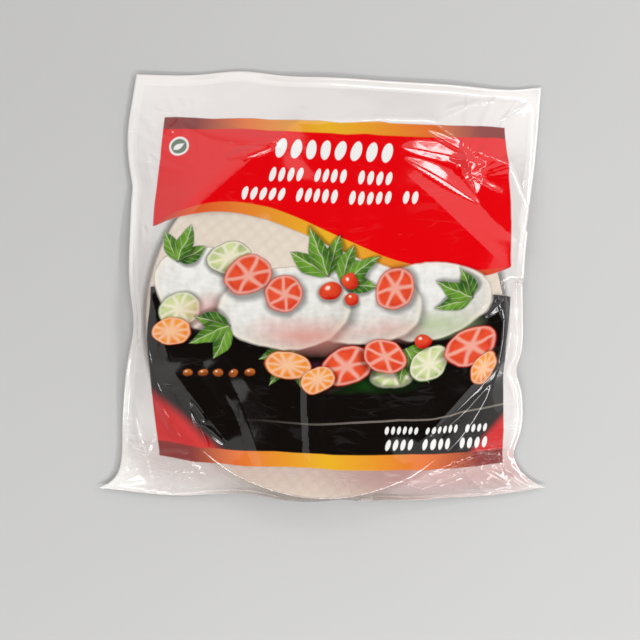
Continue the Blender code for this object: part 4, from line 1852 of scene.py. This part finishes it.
@dataclass(frozen=True)
class RicePaperFinish:
    """Dry, slightly glassy rice paper, lighter where the weave left it thick."""

    thin: Colour = linear(208, 191, 171)
    thick: Colour = linear(223, 210, 192)
    rim: Colour = linear(220, 208, 188)
    roughness: float = 0.42
    layer_pitch: float = 1.9 * MM
    bump_strength: float = 0.25
    bump_distance: float = 0.08 * MM

    def build(self, woven: bool) -> bpy.types.Material:
        """Makes the material, for a woven face or for the plain sheets of the stack."""
        material, desk, shader = new_material("woven_rice_paper" if woven else "rice_paper_rims")
        place = desk.object_place()
        cloud = desk.noise(place, 55.0, 4.0)
        speck = desk.between(desk.noise(place, 900.0, 2.0), 0.66, 0.74)
        if woven:
            share = desk.attribute("relief").outputs["Fac"]
            share = desk.plus(desk.times(share, 0.75), desk.times(cloud, 0.3))
            colour = desk.over(share, self.thin, self.thick)
        else:
            level = desk.parts(place)[2]
            layers = desk.math("SINE", desk.times(level, 2 * math.pi / self.layer_pitch))
            share = desk.plus(desk.times(layers, 0.22), cloud)
            colour = desk.over(share, self.thin, self.rim)
        colour = desk.over(desk.times(speck, 0.3), colour, WHITE)
        desk.feed(shader.inputs["Base Color"], colour)
        desk.feed(shader.inputs["Roughness"], desk.plus(desk.times(cloud, 0.2), self.roughness - 0.1))
        desk.bump(shader, desk.noise(place, 1400.0, 3.0), self.bump_strength, self.bump_distance)
        return material


# ---------------------------------------------------------------------------------------------
# Studio
# ---------------------------------------------------------------------------------------------


@dataclass(frozen=True)
class LightPanel:
    """A soft panel that hangs level and looks straight down."""

    name: str
    place: tuple[float, float, float]
    size: tuple[float, float]
    radiance: float

    def build(self) -> None:
        """Hangs the panel."""
        data = bpy.data.lights.new(self.name, "AREA")
        data.shape = "RECTANGLE"
        data.size, data.size_y = self.size
        data.energy = self.radiance * 4 * self.size[0] * self.size[1]
        light = bpy.data.objects.new(self.name, data)
        light.location = self.place
        bpy.context.scene.collection.objects.link(light)


@dataclass
class Studio:
    """Pale floor, soft light from above and the camera over the pack."""

    panels: tuple[LightPanel, ...] = (
        LightPanel("near_box", (-0.05, -BOX_REACH, BOX_HEIGHT), (1.15, 0.24), 8.0),
        LightPanel("right_box", (BOX_REACH, -0.12, BOX_HEIGHT), (0.22, 1.46), 7.0),
        LightPanel("left_box", (-0.80, -0.36, BOX_HEIGHT), (0.12, 0.14), 9.0),
        LightPanel("far_box", (0.32, BOX_REACH, BOX_HEIGHT), (0.50, 0.16), 8.0),
    )
    floor_size: float = 6.0
    floor_colour: Colour = linear(192, 192, 192)
    floor_grain: float = 0.97
    floor_roughness: float = 0.9
    sky_near: Colour = (0.43, 0.42, 0.41)
    sky_far: Colour = (0.82, 0.81, 0.81)
    sky_overhead: Colour = (0.015, 0.015, 0.015)
    overhead_from: float = math.cos(math.radians(13))
    overhead_to: float = math.cos(math.radians(12))
    target: tuple[float, float, float] = (*TARGET, 5.0 * MM)
    camera_distance: float = CAMERA_HEIGHT
    camera_elevation: float = math.radians(89.8)
    camera_roll: float = math.radians(2.05)
    lens: float = 81.64

    def build(self) -> None:
        """Sets up everything round the pack."""
        self.lay_floor()
        self.light_sky()
        for panel in self.panels:
            panel.build()
        self.place_camera()
        bpy.context.scene.view_settings.view_transform = "Standard"

    def lay_floor(self) -> None:
        """Lays the plain floor."""
        bm = bmesh.new()
        bmesh.ops.create_grid(bm, x_segments=1, y_segments=1, size=self.floor_size / 2)
        floor = finish_mesh(bm, "floor")
        material, desk, shader = new_material("floor_paper")
        grain = desk.noise(desk.object_place(), 6.0, 2.0)
        darker = tuple(channel * self.floor_grain for channel in self.floor_colour)
        desk.feed(shader.inputs["Base Color"], desk.over(grain, self.floor_colour, darker))
        desk.feed(shader.inputs["Roughness"], self.floor_roughness)
        floor.data.materials.append(material)

    def light_sky(self) -> None:
        """Makes a bright tent of sky with a dark opening overhead."""
        world = bpy.data.worlds.new("studio_sky")
        world.use_nodes = True
        bpy.context.scene.world = world
        desk = NodeDesk(world.node_tree)
        direction = desk.add("ShaderNodeTexCoord").outputs["Generated"]
        _, ahead, above = desk.parts(direction)
        round_about = desk.over(desk.between(ahead, -0.7, 0.7), self.sky_near, self.sky_far)
        overhead = desk.between(above, self.overhead_from, self.overhead_to)
        colour = desk.over(overhead, round_about, self.sky_overhead)
        desk.feed(world.node_tree.nodes["Background"].inputs["Color"], colour)

    def place_camera(self) -> None:
        """Hangs the camera over the pack, a little towards its near end."""
        target = Vector(self.target)
        back = Vector((0.0, -math.cos(self.camera_elevation), math.sin(self.camera_elevation)))
        up = Vector((-math.sin(self.camera_roll), math.cos(self.camera_roll), 0.0))
        right = up.cross(back).normalized()
        up = back.cross(right)
        data = bpy.data.cameras.new("camera")
        data.lens = self.lens
        camera = bpy.data.objects.new("camera", data)
        camera.matrix_world = Matrix((right, up, back)).transposed().to_4x4()
        camera.location = target + back * self.camera_distance
        bpy.context.scene.collection.objects.link(camera)
        bpy.context.scene.camera = camera


# ---------------------------------------------------------------------------------------------
# Putting it together
# ---------------------------------------------------------------------------------------------


def main() -> None:
    """Builds the pack's pieces in order, dresses them and lights them."""
    logging.basicConfig(level=logging.INFO, format="%(name)s: %(message)s")
    shared = Shared()
    stack_place = StackPlace()
    film = PouchFilm(WeldedOutline(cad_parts[POUCH_NODE]), stack_place).build()
    fields = printed_fields_group(shared)
    for zone in Zone:
        if zone is Zone.BACK:
            film.data.materials.append(BackFilmFinish().build(shared))
        else:
            film.data.materials.append(FrontFilmFinish().build(shared, fields, zone))
    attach(film, BODY)
    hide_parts(POUCH_NODE)
    LOG.info("%s: %d faces", film.name, len(film.data.polygons))
    woven, rims = RicePaperFinish().build(True), RicePaperFinish().build(False)
    for sheet in RicePaperStack(stack_place).build():
        sheet.data.materials.append(rims if sheet.name == STACK_PIECE else woven)
        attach(sheet, BODY)
        LOG.info("%s: %d faces", sheet.name, len(sheet.data.polygons))
    Studio().build()


if __name__ == "__main__":
    main()
